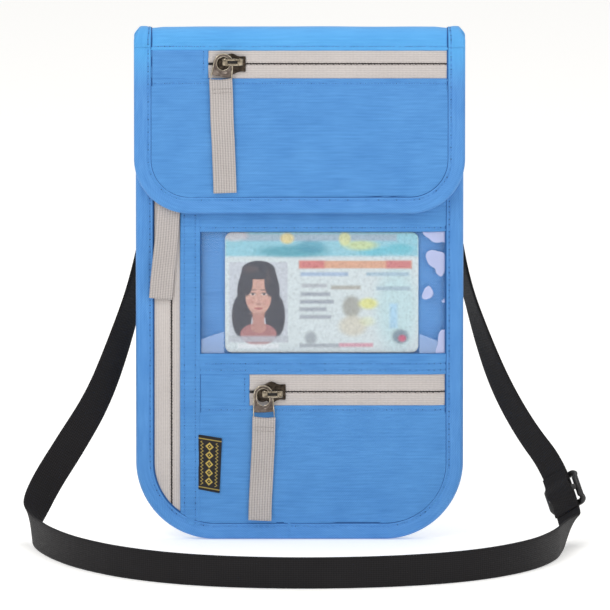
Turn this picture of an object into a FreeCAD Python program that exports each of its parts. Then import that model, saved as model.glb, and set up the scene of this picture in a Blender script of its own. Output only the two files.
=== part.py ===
import FreeCAD, Part
import math
import os

# A flat travel neck pouch. It stands on its lower edge with its front towards -Y and +Z up.
# The origin is at the middle of the lower edge. Every length is in millimetres.

Vector = FreeCAD.Vector

# ---- Driving dimensions of the body, seen from the front (X across, Z up) ----
BODY_HALF_WIDTH = 72.5
BODY_TOP = 218.6
BODY_CORNER = 35.0
BINDING_WIDTH = 7.8
BINDING_WALL = 0.9
BINDING_SPLIT_HEIGHT = 36.0

# ---- Driving dimensions of the flap, seen from the front ----
FLAP_HALF_WIDTH = 73.2
FLAP_BOTTOM = 147.6
FLAP_TOP = 230.0
FLAP_CORNER = 24.5
FOLD_START = 223.0
FOLD_ROUND = 6.5
FOLD_THICKNESS = 1.2

# ---- Zips: centre lines, tape edges and end patches ----
SLIT = 0.9
COIL_WIDTH = 1.7
COIL_THICKNESS = 1.0
SIDE_SLIT_X = -56.7
SIDE_TAPE_RIGHT = -52.9
FACING_RIGHT = -43.9
LOWER_SLIT_Z = 66.9
LOWER_TAPE_BOTTOM = 60.8
LOWER_TAPE_TOP = 74.7
LOWER_TAPE_LEFT = -22.1
FLAP_SLIT_Z = 214.8
FLAP_TAPE_BOTTOM = 208.3
FLAP_TAPE_TOP = 220.7
FLAP_TAPE_LEFT = -40.2

# ---- Window and card ----
WINDOW_BOTTOM = 84.1
WINDOW_TOP = 138.7
FILM_THICKNESS = 0.3
CARD_LEFT = -33.0
CARD_BOTTOM = 84.3
CARD_WIDTH = 85.6
CARD_HEIGHT = 53.98
CARD_THICKNESS = 0.76
CARD_CORNER = 3.18

# ---- Layers through the pouch. A depth is counted forwards from the rear face of the anchors ----
ANCHOR_THICKNESS = 1.4
LEG_THICKNESS = 0.5
SHELL_THICKNESS = 0.8
FOIL_THICKNESS = 0.2
LINING_THICKNESS = 0.3
COMPARTMENT_GAP = 5.0
BASE_THICKNESS = 0.6
POCKET_GAP = 2.2
FLAP_CLEARANCE = 2.2
FLAP_LINING_THICKNESS = 0.4
FLAP_POCKET_GAP = 1.2

BACK_REAR = ANCHOR_THICKNESS
BACK_FRONT = BACK_REAR + SHELL_THICKNESS
REAR_FOIL_FRONT = BACK_FRONT + FOIL_THICKNESS
REAR_LINING_FRONT = REAR_FOIL_FRONT + LINING_THICKNESS
FRONT_LINING_REAR = REAR_LINING_FRONT + COMPARTMENT_GAP
FRONT_LINING_FRONT = FRONT_LINING_REAR + LINING_THICKNESS
FRONT_FOIL_FRONT = FRONT_LINING_FRONT + FOIL_THICKNESS
BASE_FRONT = FRONT_FOIL_FRONT + BASE_THICKNESS
FACE_REAR = BASE_FRONT + POCKET_GAP
FACE_FRONT = FACE_REAR + SHELL_THICKNESS
BODY_FRONT = FACE_FRONT + LEG_THICKNESS
FLAP_REAR = BODY_FRONT + FLAP_CLEARANCE
FLAP_LINING_REAR = FLAP_REAR + LEG_THICKNESS
FLAP_LINING_FRONT = FLAP_LINING_REAR + FLAP_LINING_THICKNESS
FLAP_FACE_REAR = FLAP_LINING_FRONT + FLAP_POCKET_GAP
FLAP_FACE_FRONT = FLAP_FACE_REAR + SHELL_THICKNESS
FLAP_FRONT = FLAP_FACE_FRONT + LEG_THICKNESS

# ---- Zip slider and pull, as depths forward of the face that the slider runs on ----
SLIDER_LENGTH = 10.8
SLIDER_HEIGHT = 8.6
SLIDER_TAIL_HEIGHT = 6.4
PLATE_REAR = 0.15
PLATE_FRONT = 0.95
TAB_REAR = 1.1
TAB_FRONT = 1.8
BAIL_REAR = 1.95
BAIL_FRONT = 2.5
BAIL_HEIGHT = 3.0
BAIL_LEG = 1.3
BAIL_SPAN = 9.6
KEEL_THICKNESS = 0.5
TAB_RING = 4.0
TAB_RING_HOLE = 2.9
TAB_HALF_WIDTH = 4.7
TAB_DROP = 10.2
TAB_RIM = 1.0
RIBBON_WIDTH = 10.2
RIBBON_LENGTH = 47.5
RIBBON_LOOP = 0.6
RIBBON_REAR = 0.8
RIBBON_FRONT = 2.0

TOTAL_DEPTH = FLAP_FACE_FRONT + BAIL_FRONT
HALF_DEPTH = TOTAL_DEPTH / 2.0

# ---- Flap hinge: the fabric fold along the top of the back ----
HINGE_DEPTH = 0.8
HINGE_HEIGHT = BODY_TOP + 0.8
HINGE_GAP = 0.5

# ---- Strap: webbing, its buckle and the two sewn ends ----
STRAP_WIDTH = 14.0
STRAP_THICKNESS = 1.3
ANCHOR_X = 54.0
ANCHOR_BOTTOM = 196.0
ANCHOR_TOP = 208.0
STRAP_START_Y = HALF_DEPTH - ANCHOR_THICKNESS / 2.0
RUN_SHARE = 0.45
ARC_SECTIONS = 6

# Route of the strap's middle line from the left anchor round to the right one. Each entry is a point
# and the direction in which the webbing's width lies there.
STRAP_ROUTE = [
    ((-54.0, STRAP_START_Y, 196.0), (-1.0, 0.0, 0.0)),
    ((-56.5, 13.2, 172.0), (-1.0, -0.1, 0.0)),
    ((-63.0, 15.4, 143.0), (-0.85, -0.5, 0.05)),
    ((-72.0, 16.0, 112.0), (-0.5, -0.82, 0.15)),
    ((-80.8, 12.4, 84.0), (-0.7, -0.62, 0.3)),
    ((-89.6, 8.5, 61.5), (-0.78, -0.45, 0.37)),
    ((-102.0, 4.8, 41.5), (-0.88, -0.15, 0.42)),
    ((-113.0, 1.5, 24.5), (-0.8, -0.18, 0.55)),
    ((-118.3, -3.5, 13.0), (-0.45, -0.15, 0.88)),
    ((-119.0, -13.0, 7.8), (-0.1, -0.05, 1.0)),
    ((-116.0, -27.0, 7.1), (0.0, 0.0, 1.0)),
    ((-109.0, -50.0, 7.1), (0.0, 0.0, 1.0)),
    ((-97.0, -76.0, 7.1), (0.0, 0.0, 1.0)),
    ((-76.0, -102.0, 7.1), (0.0, 0.0, 1.0)),
    ((-45.0, -121.0, 7.1), (0.0, 0.0, 1.0)),
    ((-3.0, -128.5, 7.1), (0.0, 0.0, 1.0)),
    ((40.0, -124.0, 7.1), (0.0, 0.0, 1.0)),
    ((76.0, -109.0, 7.1), (0.0, 0.0, 1.0)),
    ((101.0, -83.0, 7.1), (0.0, 0.0, 1.0)),
    ((112.8, -54.0, 7.1), (0.0, 0.0, 1.0)),
    ((117.8, -30.0, 7.1), (0.12, 0.0, 1.0)),
    ((120.8, -14.9, 7.4), (0.35, -0.1, 0.93)),
    ((120.0, -8.2, 11.5), (0.68, -0.55, 0.45)),
    ((112.3, 2.2, 32.8), (0.68, -0.55, 0.45)),
    ((100.5, 6.0, 48.0), (0.72, -0.45, 0.5)),
    ((89.2, 9.8, 67.5), (0.62, -0.7, 0.35)),
    ((80.9, 13.2, 89.0), (0.5, -0.85, 0.2)),
    ((73.5, 16.2, 113.0), (0.28, -0.95, 0.08)),
    ((65.0, 16.2, 141.0), (0.75, -0.62, 0.1)),
    ((57.0, 13.4, 171.0), (1.0, -0.1, 0.0)),
    ((54.0, STRAP_START_Y, 196.0), (1.0, 0.0, 0.0)),
]

BUCKLE_RUN = 22
BUCKLE_OFFSET = 11.4
BUCKLE_SHIFT = 0.6
BUCKLE_WIDTH = 21.0
BUCKLE_LENGTH = 15.0
BUCKLE_OPENING = 16.0
BUCKLE_BAR = 2.4
BUCKLE_BAR_THICKNESS = 1.6
BUCKLE_CLEARANCE = 0.7


# ---- Basic shapes ----

def place(solid, depth):
    """Moves a solid made forwards from y = 0 so that it starts at a depth."""
    solid.translate(Vector(0, HALF_DEPTH - depth, 0))
    return solid


def plate(face, rear, front):
    """A flat layer between two depths with the outline of a face in the XZ plane."""
    return place(face.extrude(Vector(0, rear - front, 0)), rear)


def block(left, right, bottom, top, rear, front):
    """A box between two depths."""
    corner = Vector(left, HALF_DEPTH - front, bottom)
    return Part.makeBox(right - left, front - rear, top - bottom, corner)


def panel_face(half_width, bottom, top, corner):
    """A face in the XZ plane with a straight top and two round lower corners."""
    middle = corner * (1 - math.cos(math.pi / 4))
    left_low = Vector(-half_width, 0, bottom + corner)
    left_mid = Vector(-half_width + middle, 0, bottom + middle)
    left_foot = Vector(-half_width + corner, 0, bottom)
    right_foot = Vector(half_width - corner, 0, bottom)
    right_mid = Vector(half_width - middle, 0, bottom + middle)
    right_low = Vector(half_width, 0, bottom + corner)
    left_top = Vector(-half_width, 0, top)
    right_top = Vector(half_width, 0, top)
    edges = [
        Part.LineSegment(left_top, left_low).toShape(),
        Part.Arc(left_low, left_mid, left_foot).toShape(),
        Part.LineSegment(left_foot, right_foot).toShape(),
        Part.Arc(right_foot, right_mid, right_low).toShape(),
        Part.LineSegment(right_low, right_top).toShape(),
        Part.LineSegment(right_top, left_top).toShape(),
    ]
    return Part.Face(Part.Wire(edges))


def body_face(inset, top=BODY_TOP):
    """The body's outline, drawn in by an inset at the sides and below."""
    return panel_face(BODY_HALF_WIDTH - inset, inset, top, BODY_CORNER - inset)


def flap_face(inset, top=FOLD_START):
    """The flap's outline, drawn in by an inset at the sides and below."""
    return panel_face(FLAP_HALF_WIDTH - inset, FLAP_BOTTOM + inset, top, FLAP_CORNER - inset)


def channel(make_face, rear, front, top):
    """A folded binding tape: a wall round the edge and a leg on each side of the layers."""
    over = top + 5.0
    outer = plate(make_face(0.0, top), rear, front)
    core = plate(make_face(BINDING_WALL, over), rear + LEG_THICKNESS, front - LEG_THICKNESS)
    rear_hole = plate(make_face(BINDING_WIDTH, over), rear, rear + LEG_THICKNESS)
    front_hole = plate(make_face(BINDING_WIDTH, over), front - LEG_THICKNESS, front)
    return outer.cut(core).cut(rear_hole).cut(front_hole)


def face_part(left, right, bottom, top):
    """A stretch of the body's front layer."""
    layer = plate(body_face(BINDING_WALL), FACE_REAR, FACE_FRONT)
    return layer.common(block(left, right, bottom, top, FACE_REAR, FACE_FRONT))


def flap_part(left, right, bottom, top):
    """A stretch of the flap's front layer."""
    layer = plate(flap_face(BINDING_WALL), FLAP_FACE_REAR, FLAP_FACE_FRONT)
    return layer.common(block(left, right, bottom, top, FLAP_FACE_REAR, FLAP_FACE_FRONT))


def rounded_card(left, bottom, width, height, radius, rear, front):
    """A thin card with four round corners."""
    solid = block(left, left + width, bottom, bottom + height, rear, front)
    uprights = [edge for edge in solid.Edges if edge.BoundBox.YLength > 0.9 * (front - rear)]
    return solid.makeFillet(radius, uprights)


# ---- Body layers ----

def back_layers():
    """The back panel, its foil and the lining behind the main compartment."""
    outline = body_face(BINDING_WALL)
    return {
        "back_panel": plate(outline, BACK_REAR, BACK_FRONT),
        "rfid_foil_rear": plate(body_face(BINDING_WIDTH), BACK_FRONT, REAR_FOIL_FRONT),
        "rear_lining": plate(outline, REAR_FOIL_FRONT, REAR_LINING_FRONT),
    }


def front_layers():
    """The layers between the main compartment and the front pockets."""
    outline = body_face(BINDING_WALL, BODY_TOP - BINDING_WALL)
    foil = body_face(BINDING_WIDTH, BODY_TOP - BINDING_WALL)
    return {
        "front_lining": plate(outline, FRONT_LINING_REAR, FRONT_LINING_FRONT),
        "rfid_foil_front": plate(foil, FRONT_LINING_FRONT, FRONT_FOIL_FRONT),
        "base_panel": plate(outline, FRONT_FOIL_FRONT, BASE_FRONT),
    }


def body_bindings():
    """The binding tape round the body: two straight sides and the lower edge."""
    whole = channel(body_face, BACK_REAR - LEG_THICKNESS, BODY_FRONT, BODY_TOP)
    reach = BODY_HALF_WIDTH + 1.0
    low = block(-reach, reach, -1.0, BINDING_SPLIT_HEIGHT, 0, BODY_FRONT + 1.0)
    left = block(-reach, 0, BINDING_SPLIT_HEIGHT, BODY_TOP + 1.0, 0, BODY_FRONT + 1.0)
    right = block(0, reach, BINDING_SPLIT_HEIGHT, BODY_TOP + 1.0, 0, BODY_FRONT + 1.0)
    return {
        "edge_binding_bottom": whole.common(low),
        "edge_binding_left": whole.common(left),
        "edge_binding_right": whole.common(right),
    }


def mouth_binding():
    """The narrow tape folded over the top edge of the front layers."""
    reach = BODY_HALF_WIDTH - BINDING_WIDTH - 0.2
    bottom = BODY_TOP - BINDING_WIDTH
    rear = FRONT_LINING_REAR - LINING_THICKNESS
    outer = block(-reach, reach, bottom, BODY_TOP, rear, BODY_FRONT)
    core = block(-reach, reach, bottom, BODY_TOP - BINDING_WALL, FRONT_LINING_REAR, FACE_FRONT)
    return {"mouth_binding": outer.cut(core)}


# ---- Front of the body ----

def side_zip_and_facing():
    """The upright zip at the left and the plain facing strip beside it."""
    top = BODY_TOP - BINDING_WALL
    left = -BODY_HALF_WIDTH
    slit_left = SIDE_SLIT_X - SLIT / 2
    slit_right = SIDE_SLIT_X + SLIT / 2
    coil_rear = FACE_REAR - COIL_THICKNESS
    foot = BINDING_WIDTH + 14.0
    return {
        "side_zip_tape_outer": face_part(left, slit_left, 0, top),
        "side_zip_tape_inner": face_part(slit_right, SIDE_TAPE_RIGHT, 0, top),
        "side_zip_coil_outer": block(slit_left - COIL_WIDTH, slit_left, foot, top, coil_rear, FACE_REAR),
        "side_zip_coil_inner": block(slit_right, slit_right + COIL_WIDTH, foot, top, coil_rear, FACE_REAR),
        "facing_strip": face_part(SIDE_TAPE_RIGHT, FACING_RIGHT, 0, top),
    }


def window_parts():
    """The clear window between its two fabric bands, and the card behind it."""
    top = BODY_TOP - BINDING_WALL
    right = BODY_HALF_WIDTH
    film = plate(body_face(BINDING_WALL), FACE_REAR, FACE_REAR + FILM_THICKNESS)
    film = film.common(block(FACING_RIGHT, right, WINDOW_BOTTOM, WINDOW_TOP, FACE_REAR, FACE_FRONT))
    card_rear = BASE_FRONT + (POCKET_GAP - CARD_THICKNESS) / 2
    card = rounded_card(CARD_LEFT, CARD_BOTTOM, CARD_WIDTH, CARD_HEIGHT, CARD_CORNER,
                        card_rear, card_rear + CARD_THICKNESS)
    return {
        "window_top_band": face_part(FACING_RIGHT, right, WINDOW_TOP, top),
        "window_film": film,
        "window_bottom_band": face_part(FACING_RIGHT, right, LOWER_TAPE_TOP, WINDOW_BOTTOM),
        "id_card": card,
    }


def lower_pocket():
    """The lower pocket's zip, its end patch, its panel and the woven label beside it."""
    right = BODY_HALF_WIDTH
    slit_low = LOWER_SLIT_Z - SLIT / 2
    slit_high = LOWER_SLIT_Z + SLIT / 2
    coil_rear = FACE_REAR - COIL_THICKNESS
    coil_right = right - BINDING_WIDTH
    left = LOWER_TAPE_LEFT
    return {
        "lower_zip_tape_upper": face_part(left, right, slit_high, LOWER_TAPE_TOP),
        "lower_zip_tape_lower": face_part(left, right, LOWER_TAPE_BOTTOM, slit_low),
        "lower_zip_coil_upper": block(left, coil_right, slit_high, slit_high + COIL_WIDTH, coil_rear, FACE_REAR),
        "lower_zip_coil_lower": block(left, coil_right, slit_low - COIL_WIDTH, slit_low, coil_rear, FACE_REAR),
        "lower_zip_end_patch": face_part(FACING_RIGHT, left, LOWER_TAPE_BOTTOM, LOWER_TAPE_TOP),
        "lower_pocket_panel": face_part(FACING_RIGHT, right, 0, LOWER_TAPE_BOTTOM),
        "woven_label": block(FACING_RIGHT, FACING_RIGHT + 9.8, 21.5, 47.1, FACE_FRONT, FACE_FRONT + 0.4),
    }


# ---- Flap ----

def flap_layers():
    """The flap's lining, its outer panels, its zip and the binding round it."""
    right = FLAP_HALF_WIDTH
    left = FLAP_TAPE_LEFT
    slit_low = FLAP_SLIT_Z - SLIT / 2
    slit_high = FLAP_SLIT_Z + SLIT / 2
    coil_rear = FLAP_FACE_REAR - COIL_THICKNESS
    coil_right = right - BINDING_WIDTH
    return {
        "flap_lining": plate(flap_face(BINDING_WALL), FLAP_LINING_REAR, FLAP_LINING_FRONT),
        "flap_panel": flap_part(-right, right, FLAP_BOTTOM, FLAP_TAPE_BOTTOM),
        "flap_top_band": flap_part(-right, right, FLAP_TAPE_TOP, FOLD_START),
        "flap_zip_end_patch": flap_part(-right, left, FLAP_TAPE_BOTTOM, FLAP_TAPE_TOP),
        "flap_zip_tape_upper": flap_part(left, right, slit_high, FLAP_TAPE_TOP),
        "flap_zip_tape_lower": flap_part(left, right, FLAP_TAPE_BOTTOM, slit_low),
        "flap_zip_coil_upper": block(left, coil_right, slit_high, slit_high + COIL_WIDTH, coil_rear, FLAP_FACE_REAR),
        "flap_zip_coil_lower": block(left, coil_right, slit_low - COIL_WIDTH, slit_low, coil_rear, FLAP_FACE_REAR),
        "flap_binding": channel(flap_face, FLAP_REAR, FLAP_FRONT, FOLD_START),
    }


def fold_profile(inset, rear, front, bottom):
    """The face across the flap's fold, drawn in the YZ plane as a round-shouldered arch."""
    top = FLAP_TOP - inset
    radius = FOLD_ROUND - inset
    middle = radius * (1 - math.cos(math.pi / 4))
    y_rear = HALF_DEPTH - rear - inset
    y_front = HALF_DEPTH - front + inset
    x = -FLAP_HALF_WIDTH
    foot_rear = Vector(x, y_rear, bottom)
    shoulder_rear = Vector(x, y_rear, top - radius)
    mid_rear = Vector(x, y_rear - middle, top - middle)
    crown_rear = Vector(x, y_rear - radius, top)
    crown_front = Vector(x, y_front + radius, top)
    mid_front = Vector(x, y_front + middle, top - middle)
    shoulder_front = Vector(x, y_front, top - radius)
    foot_front = Vector(x, y_front, bottom)
    edges = [
        Part.LineSegment(foot_rear, shoulder_rear).toShape(),
        Part.Arc(shoulder_rear, mid_rear, crown_rear).toShape(),
        Part.LineSegment(crown_rear, crown_front).toShape(),
        Part.Arc(crown_front, mid_front, shoulder_front).toShape(),
        Part.LineSegment(shoulder_front, foot_front).toShape(),
        Part.LineSegment(foot_front, foot_rear).toShape(),
    ]
    return Part.Face(Part.Wire(edges))


def flap_fold():
    """The fabric that carries the flap from the back over the top of the pouch."""
    rear_foot = HINGE_HEIGHT + HINGE_GAP
    width = Vector(2 * FLAP_HALF_WIDTH, 0, 0)
    outer = fold_profile(0.0, BACK_REAR, FLAP_FRONT, rear_foot).extrude(width)
    inner = fold_profile(FOLD_THICKNESS, BACK_REAR, FLAP_FRONT, rear_foot - 5).extrude(width)
    reach = FLAP_HALF_WIDTH + 1.0
    below = block(-reach, reach, rear_foot - 5, FOLD_START, HALF_DEPTH, FLAP_FRONT + 1.0)
    return {"flap_fold": outer.cut(inner).cut(below)}


def closure_patches():
    """The hook patch inside the flap and the loop patch on the body that it grips."""
    bottom, top = 160.0, 178.0
    left, right = -20.0, 25.0
    thickness = 1.2
    return {
        "hook_patch": block(left, right, bottom, top, FLAP_LINING_REAR - thickness, FLAP_LINING_REAR),
        "loop_patch": block(left, right, bottom, top, FACE_FRONT, FACE_FRONT + thickness),
    }


# ---- Zip hardware, made for an upright zip whose closed end is above ----

def slider_shape(face_depth, tape_thickness):
    """A slider: front plate, keel through the slit, rear plate and the bail on two legs."""
    half_length = SLIDER_LENGTH / 2
    half_tail = SLIDER_TAIL_HEIGHT / 2
    half_head = SLIDER_HEIGHT / 2
    corners = [(-half_tail, half_length), (half_tail, half_length), (half_head, -half_length * 0.3),
               (half_tail, -half_length), (-half_tail, -half_length), (-half_head, -half_length * 0.3)]
    points = [Vector(x, 0, z) for x, z in corners]
    face = Part.Face(Part.makePolygon(points + points[:1]))
    front_plate = plate(face, face_depth + PLATE_REAR, face_depth + PLATE_FRONT)
    half_keel = KEEL_THICKNESS / 2
    keel_back = face_depth - tape_thickness - COIL_THICKNESS - 0.1
    keel = block(-half_keel, half_keel, -half_length * 0.5, half_length * 0.5, keel_back, face_depth + PLATE_REAR)
    half_leg = BAIL_LEG / 2
    bail = block(-BAIL_HEIGHT / 2, BAIL_HEIGHT / 2, -BAIL_SPAN / 2, BAIL_SPAN / 2,
                 face_depth + BAIL_REAR, face_depth + BAIL_FRONT)
    solid = front_plate.fuse(keel).fuse(bail)
    for end in (-1, 1):
        middle = end * (BAIL_SPAN / 2 - half_leg)
        solid = solid.fuse(block(-half_leg, half_leg, middle - half_leg, middle + half_leg,
                                 face_depth + PLATE_FRONT, face_depth + BAIL_REAR))
    return solid.removeSplitter()


def tab_shape(face_depth):
    """The pull: a ring round the slider's bail leg that widens into a stirrup for the ribbon."""
    rear = face_depth + TAB_REAR
    front = face_depth + TAB_FRONT
    height = front - rear
    start = Vector(0, HALF_DEPTH - front, 0)
    ring = Part.makeCylinder(TAB_RING, height, start, Vector(0, 1, 0))
    ring_hole = Part.makeCylinder(TAB_RING_HOLE, height, start, Vector(0, 1, 0))
    half = TAB_HALF_WIDTH
    corners = [(-TAB_RING, 0), (TAB_RING, 0), (half, -TAB_DROP), (-half, -TAB_DROP)]
    points = [Vector(x, 0, z) for x, z in corners]
    skirt = plate(Part.Face(Part.makePolygon(points + points[:1])), rear, front)
    slot = block(-half + TAB_RIM, half - TAB_RIM, -TAB_DROP + TAB_RIM, -TAB_DROP + 3.4, rear, front)
    return ring.fuse(skirt).cut(ring_hole).cut(slot).removeSplitter()


def ribbon_shape(face_depth):
    """The ribbon, folded through the stirrup's slot so that its top wraps the lower bar."""
    top = -TAB_DROP + TAB_RIM + RIBBON_LOOP
    return block(-RIBBON_WIDTH / 2, RIBBON_WIDTH / 2, -TAB_DROP - RIBBON_LENGTH, top,
                 face_depth + RIBBON_REAR, face_depth + RIBBON_FRONT)


def bail_leg_offset():
    """The distance from the slider's centre to the leg that holds the pull."""
    return BAIL_SPAN / 2 - BAIL_LEG / 2


def zip_hardware(name, centre_x, centre_z, across, face_depth, tab_lean, ribbon_lean):
    """Slider, pull and ribbon of one zip. Across turns the slider for a zip that runs sideways."""
    slider = slider_shape(face_depth, SHELL_THICKNESS)
    leg = bail_leg_offset()
    pivot = Vector(centre_x, 0, centre_z - leg)
    if across:
        slider.rotate(Vector(0, 0, 0), Vector(0, 1, 0), 90)
        pivot = Vector(centre_x - leg, 0, centre_z)
    slider.translate(Vector(centre_x, 0, centre_z))
    tab = tab_shape(face_depth)
    ribbon = ribbon_shape(face_depth)
    foot = Vector(0, 0, -TAB_DROP)
    ribbon.rotate(foot, Vector(0, 1, 0), ribbon_lean - tab_lean)
    ribbon = ribbon.cut(tab)
    for shape in (tab, ribbon):
        shape.rotate(Vector(0, 0, 0), Vector(0, 1, 0), tab_lean)
        shape.translate(pivot)
    return {name + "_slider": slider, name + "_pull": tab, name + "_ribbon": ribbon}


def all_zip_hardware():
    """The three zips' sliders, pulls and ribbons."""
    nodes = {}
    nodes.update(zip_hardware("side_zip", SIDE_SLIT_X, 170.5, False, FACE_FRONT, 3.0, 5.0))
    nodes.update(zip_hardware("lower_zip", -12.0, LOWER_SLIT_Z, True, FACE_FRONT, -2.0, 2.5))
    nodes.update(zip_hardware("flap_zip", -29.6, FLAP_SLIT_Z, True, FLAP_FACE_FRONT, 8.0, -2.3))
    return nodes


# ---- Strap ----

def route_points():
    """The strap's route as vectors."""
    return [Vector(*point) for point, across in STRAP_ROUTE]


def unit(vector):
    """The vector at length one."""
    return Vector(vector) * (1.0 / vector.Length)


def corner_arc(before, corner, after):
    """Start, end, centre, radius and half turn of the arc that rounds one corner of the route."""
    come = unit(corner - before)
    leave = unit(after - corner)
    half_turn = come.getAngle(leave) / 2
    tangent = RUN_SHARE * min((corner - before).Length, (after - corner).Length)
    radius = tangent / math.tan(half_turn)
    inward = unit(leave - come)
    centre = corner + inward * (radius / math.cos(half_turn))
    return corner - come * tangent, corner + leave * tangent, centre, radius, half_turn


def arc_points(start, end, centre, radius):
    """Points along an arc, with the unit tangent at each."""
    first = start - centre
    last = end - centre
    turn = first.getAngle(last)
    normal = unit(first.cross(last))
    points = []
    for step in range(ARC_SECTIONS + 1):
        angle = turn * step / ARC_SECTIONS
        spoke = unit(first) * math.cos(angle) + unit(normal.cross(first)) * math.sin(angle)
        points.append((centre + spoke * radius, unit(normal.cross(spoke))))
    return points


def strap_stations():
    """Middle points of the strap with their directions and widths' directions, and the radii."""
    points = route_points()
    widths = [unit(Vector(*across)) for point, across in STRAP_ROUTE]
    stations = [(points[0], Vector(0, 0, -1), widths[0])]
    radii = []
    length = 0.0
    for index in range(1, len(points) - 1):
        start, end, centre, radius, half_turn = corner_arc(*points[index - 1:index + 2])
        radii.append(radius)
        before = widths[index] * (1 - RUN_SHARE) + widths[index - 1] * RUN_SHARE
        after = widths[index] * (1 - RUN_SHARE) + widths[index + 1] * RUN_SHARE
        for step, (point, tangent) in enumerate(arc_points(start, end, centre, radius)):
            share = step / ARC_SECTIONS
            width = before * (1 - share) ** 2 + widths[index] * 2 * share * (1 - share) + after * share ** 2
            stations.append((point, tangent, width))
    stations.append((points[-1], Vector(0, 0, 1), widths[-1]))
    for one, two in zip(stations, stations[1:]):
        length += (two[0] - one[0]).Length
    return stations, radii, length


def strap_section(point, tangent, width):
    """The webbing's rectangle across its route at one station."""
    across = unit(width - tangent * width.dot(tangent))
    through = unit(tangent.cross(across))
    side = across * (STRAP_WIDTH / 2)
    face = through * (STRAP_THICKNESS / 2)
    corners = [point + side + face, point - side + face, point - side - face, point + side - face]
    return Part.makePolygon(corners + corners[:1])


def strap_webbing():
    """The webbing itself, one flat band from anchor to anchor."""
    stations, radii, length = strap_stations()
    solid = Part.makeLoft([strap_section(*station) for station in stations], True, True)
    expected = length * STRAP_WIDTH * STRAP_THICKNESS
    print("strap radii:", " ".join("%.0f" % radius for radius in radii))
    print("strap length %.1f, volume %.0f, section times length %.0f" % (length, solid.Volume, expected))
    return solid


def buckle_axes():
    """Centre, run direction, width direction and normal of the tri-glide on its straight run."""
    points = route_points()
    low = points[BUCKLE_RUN]
    along = unit(points[BUCKLE_RUN + 1] - low)
    width = unit(Vector(*STRAP_ROUTE[BUCKLE_RUN + 1][1]))
    across = unit(width - along * width.dot(along))
    centre = low + along * BUCKLE_OFFSET + across * BUCKLE_SHIFT
    return centre, along, across, unit(across.cross(along))


def strap_buckle():
    """A tri-glide: two rails, two end bars behind the webbing and a middle bar before it."""
    half_width = BUCKLE_WIDTH / 2
    half_opening = BUCKLE_OPENING / 2
    half_length = BUCKLE_LENGTH / 2
    gap = STRAP_THICKNESS / 2 + BUCKLE_CLEARANCE
    reach = gap + BUCKLE_BAR_THICKNESS
    rail = half_width - half_opening
    solid = Part.makeBox(rail, BUCKLE_LENGTH, 2 * reach, Vector(half_opening, -half_length, -reach))
    solid = solid.fuse(Part.makeBox(rail, BUCKLE_LENGTH, 2 * reach, Vector(-half_width, -half_length, -reach)))
    for low in (-half_length, half_length - BUCKLE_BAR):
        solid = solid.fuse(Part.makeBox(BUCKLE_WIDTH, BUCKLE_BAR, BUCKLE_BAR_THICKNESS,
                                        Vector(-half_width, low, -reach)))
    solid = solid.fuse(Part.makeBox(BUCKLE_WIDTH, BUCKLE_BAR, BUCKLE_BAR_THICKNESS,
                                    Vector(-half_width, -BUCKLE_BAR / 2, gap)))
    solid = solid.removeSplitter()
    centre, along, across, normal = buckle_axes()
    turn = FreeCAD.Matrix(across.x, along.x, normal.x, centre.x,
                          across.y, along.y, normal.y, centre.y,
                          across.z, along.z, normal.z, centre.z,
                          0, 0, 0, 1)
    return solid.transformGeometry(turn)


def strap_parts():
    """The webbing, its buckle and the sewn patch over each end."""
    half = STRAP_WIDTH / 2
    return {
        "strap_webbing": strap_webbing(),
        "strap_buckle": strap_buckle(),
        "strap_anchor_left": block(-ANCHOR_X - half, -ANCHOR_X + half, ANCHOR_BOTTOM, ANCHOR_TOP,
                                   0, ANCHOR_THICKNESS),
        "strap_anchor_right": block(ANCHOR_X - half, ANCHOR_X + half, ANCHOR_BOTTOM, ANCHOR_TOP,
                                    0, ANCHOR_THICKNESS),
    }


# ---- Writing the parts ----

def build_nodes():
    """Every node's name and solid."""
    nodes = {}
    for group in (back_layers, front_layers, body_bindings, mouth_binding, side_zip_and_facing,
                  window_parts, lower_pocket, flap_layers, flap_fold, closure_patches,
                  all_zip_hardware, strap_parts):
        nodes.update(group())
    return nodes


def main():
    """Writes one STEP file for each node."""
    os.makedirs("parts", exist_ok=True)
    nodes = build_nodes()
    for name, shape in nodes.items():
        shape.exportStep(os.path.join("parts", name + ".step"))
    centre, along, across, normal = buckle_axes()
    print("nodes:", len(nodes))
    print("half depth %.3f, hinge y %.3f, hinge z %.3f" % (HALF_DEPTH, HALF_DEPTH - HINGE_DEPTH, HINGE_HEIGHT))
    print("buckle centre", centre, "along", along)


main()
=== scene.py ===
import bpy
import bmesh
import math
import random
from mathutils import Matrix, Vector, noise


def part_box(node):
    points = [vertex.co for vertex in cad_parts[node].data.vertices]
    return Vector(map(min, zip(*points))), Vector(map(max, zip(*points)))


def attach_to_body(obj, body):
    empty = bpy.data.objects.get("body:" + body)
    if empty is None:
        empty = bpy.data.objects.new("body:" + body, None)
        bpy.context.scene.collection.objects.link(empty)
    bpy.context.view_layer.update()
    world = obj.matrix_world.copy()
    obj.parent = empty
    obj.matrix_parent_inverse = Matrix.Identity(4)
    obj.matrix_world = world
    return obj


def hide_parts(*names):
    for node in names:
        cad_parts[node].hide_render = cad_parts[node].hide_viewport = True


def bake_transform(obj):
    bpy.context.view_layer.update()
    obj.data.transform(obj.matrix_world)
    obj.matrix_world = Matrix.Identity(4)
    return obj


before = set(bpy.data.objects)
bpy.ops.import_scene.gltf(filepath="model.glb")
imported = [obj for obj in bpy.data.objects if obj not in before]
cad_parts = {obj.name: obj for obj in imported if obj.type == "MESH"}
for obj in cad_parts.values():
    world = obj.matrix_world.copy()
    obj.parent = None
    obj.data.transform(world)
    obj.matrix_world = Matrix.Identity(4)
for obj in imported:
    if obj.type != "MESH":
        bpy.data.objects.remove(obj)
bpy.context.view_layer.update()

MM = 0.001


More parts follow.
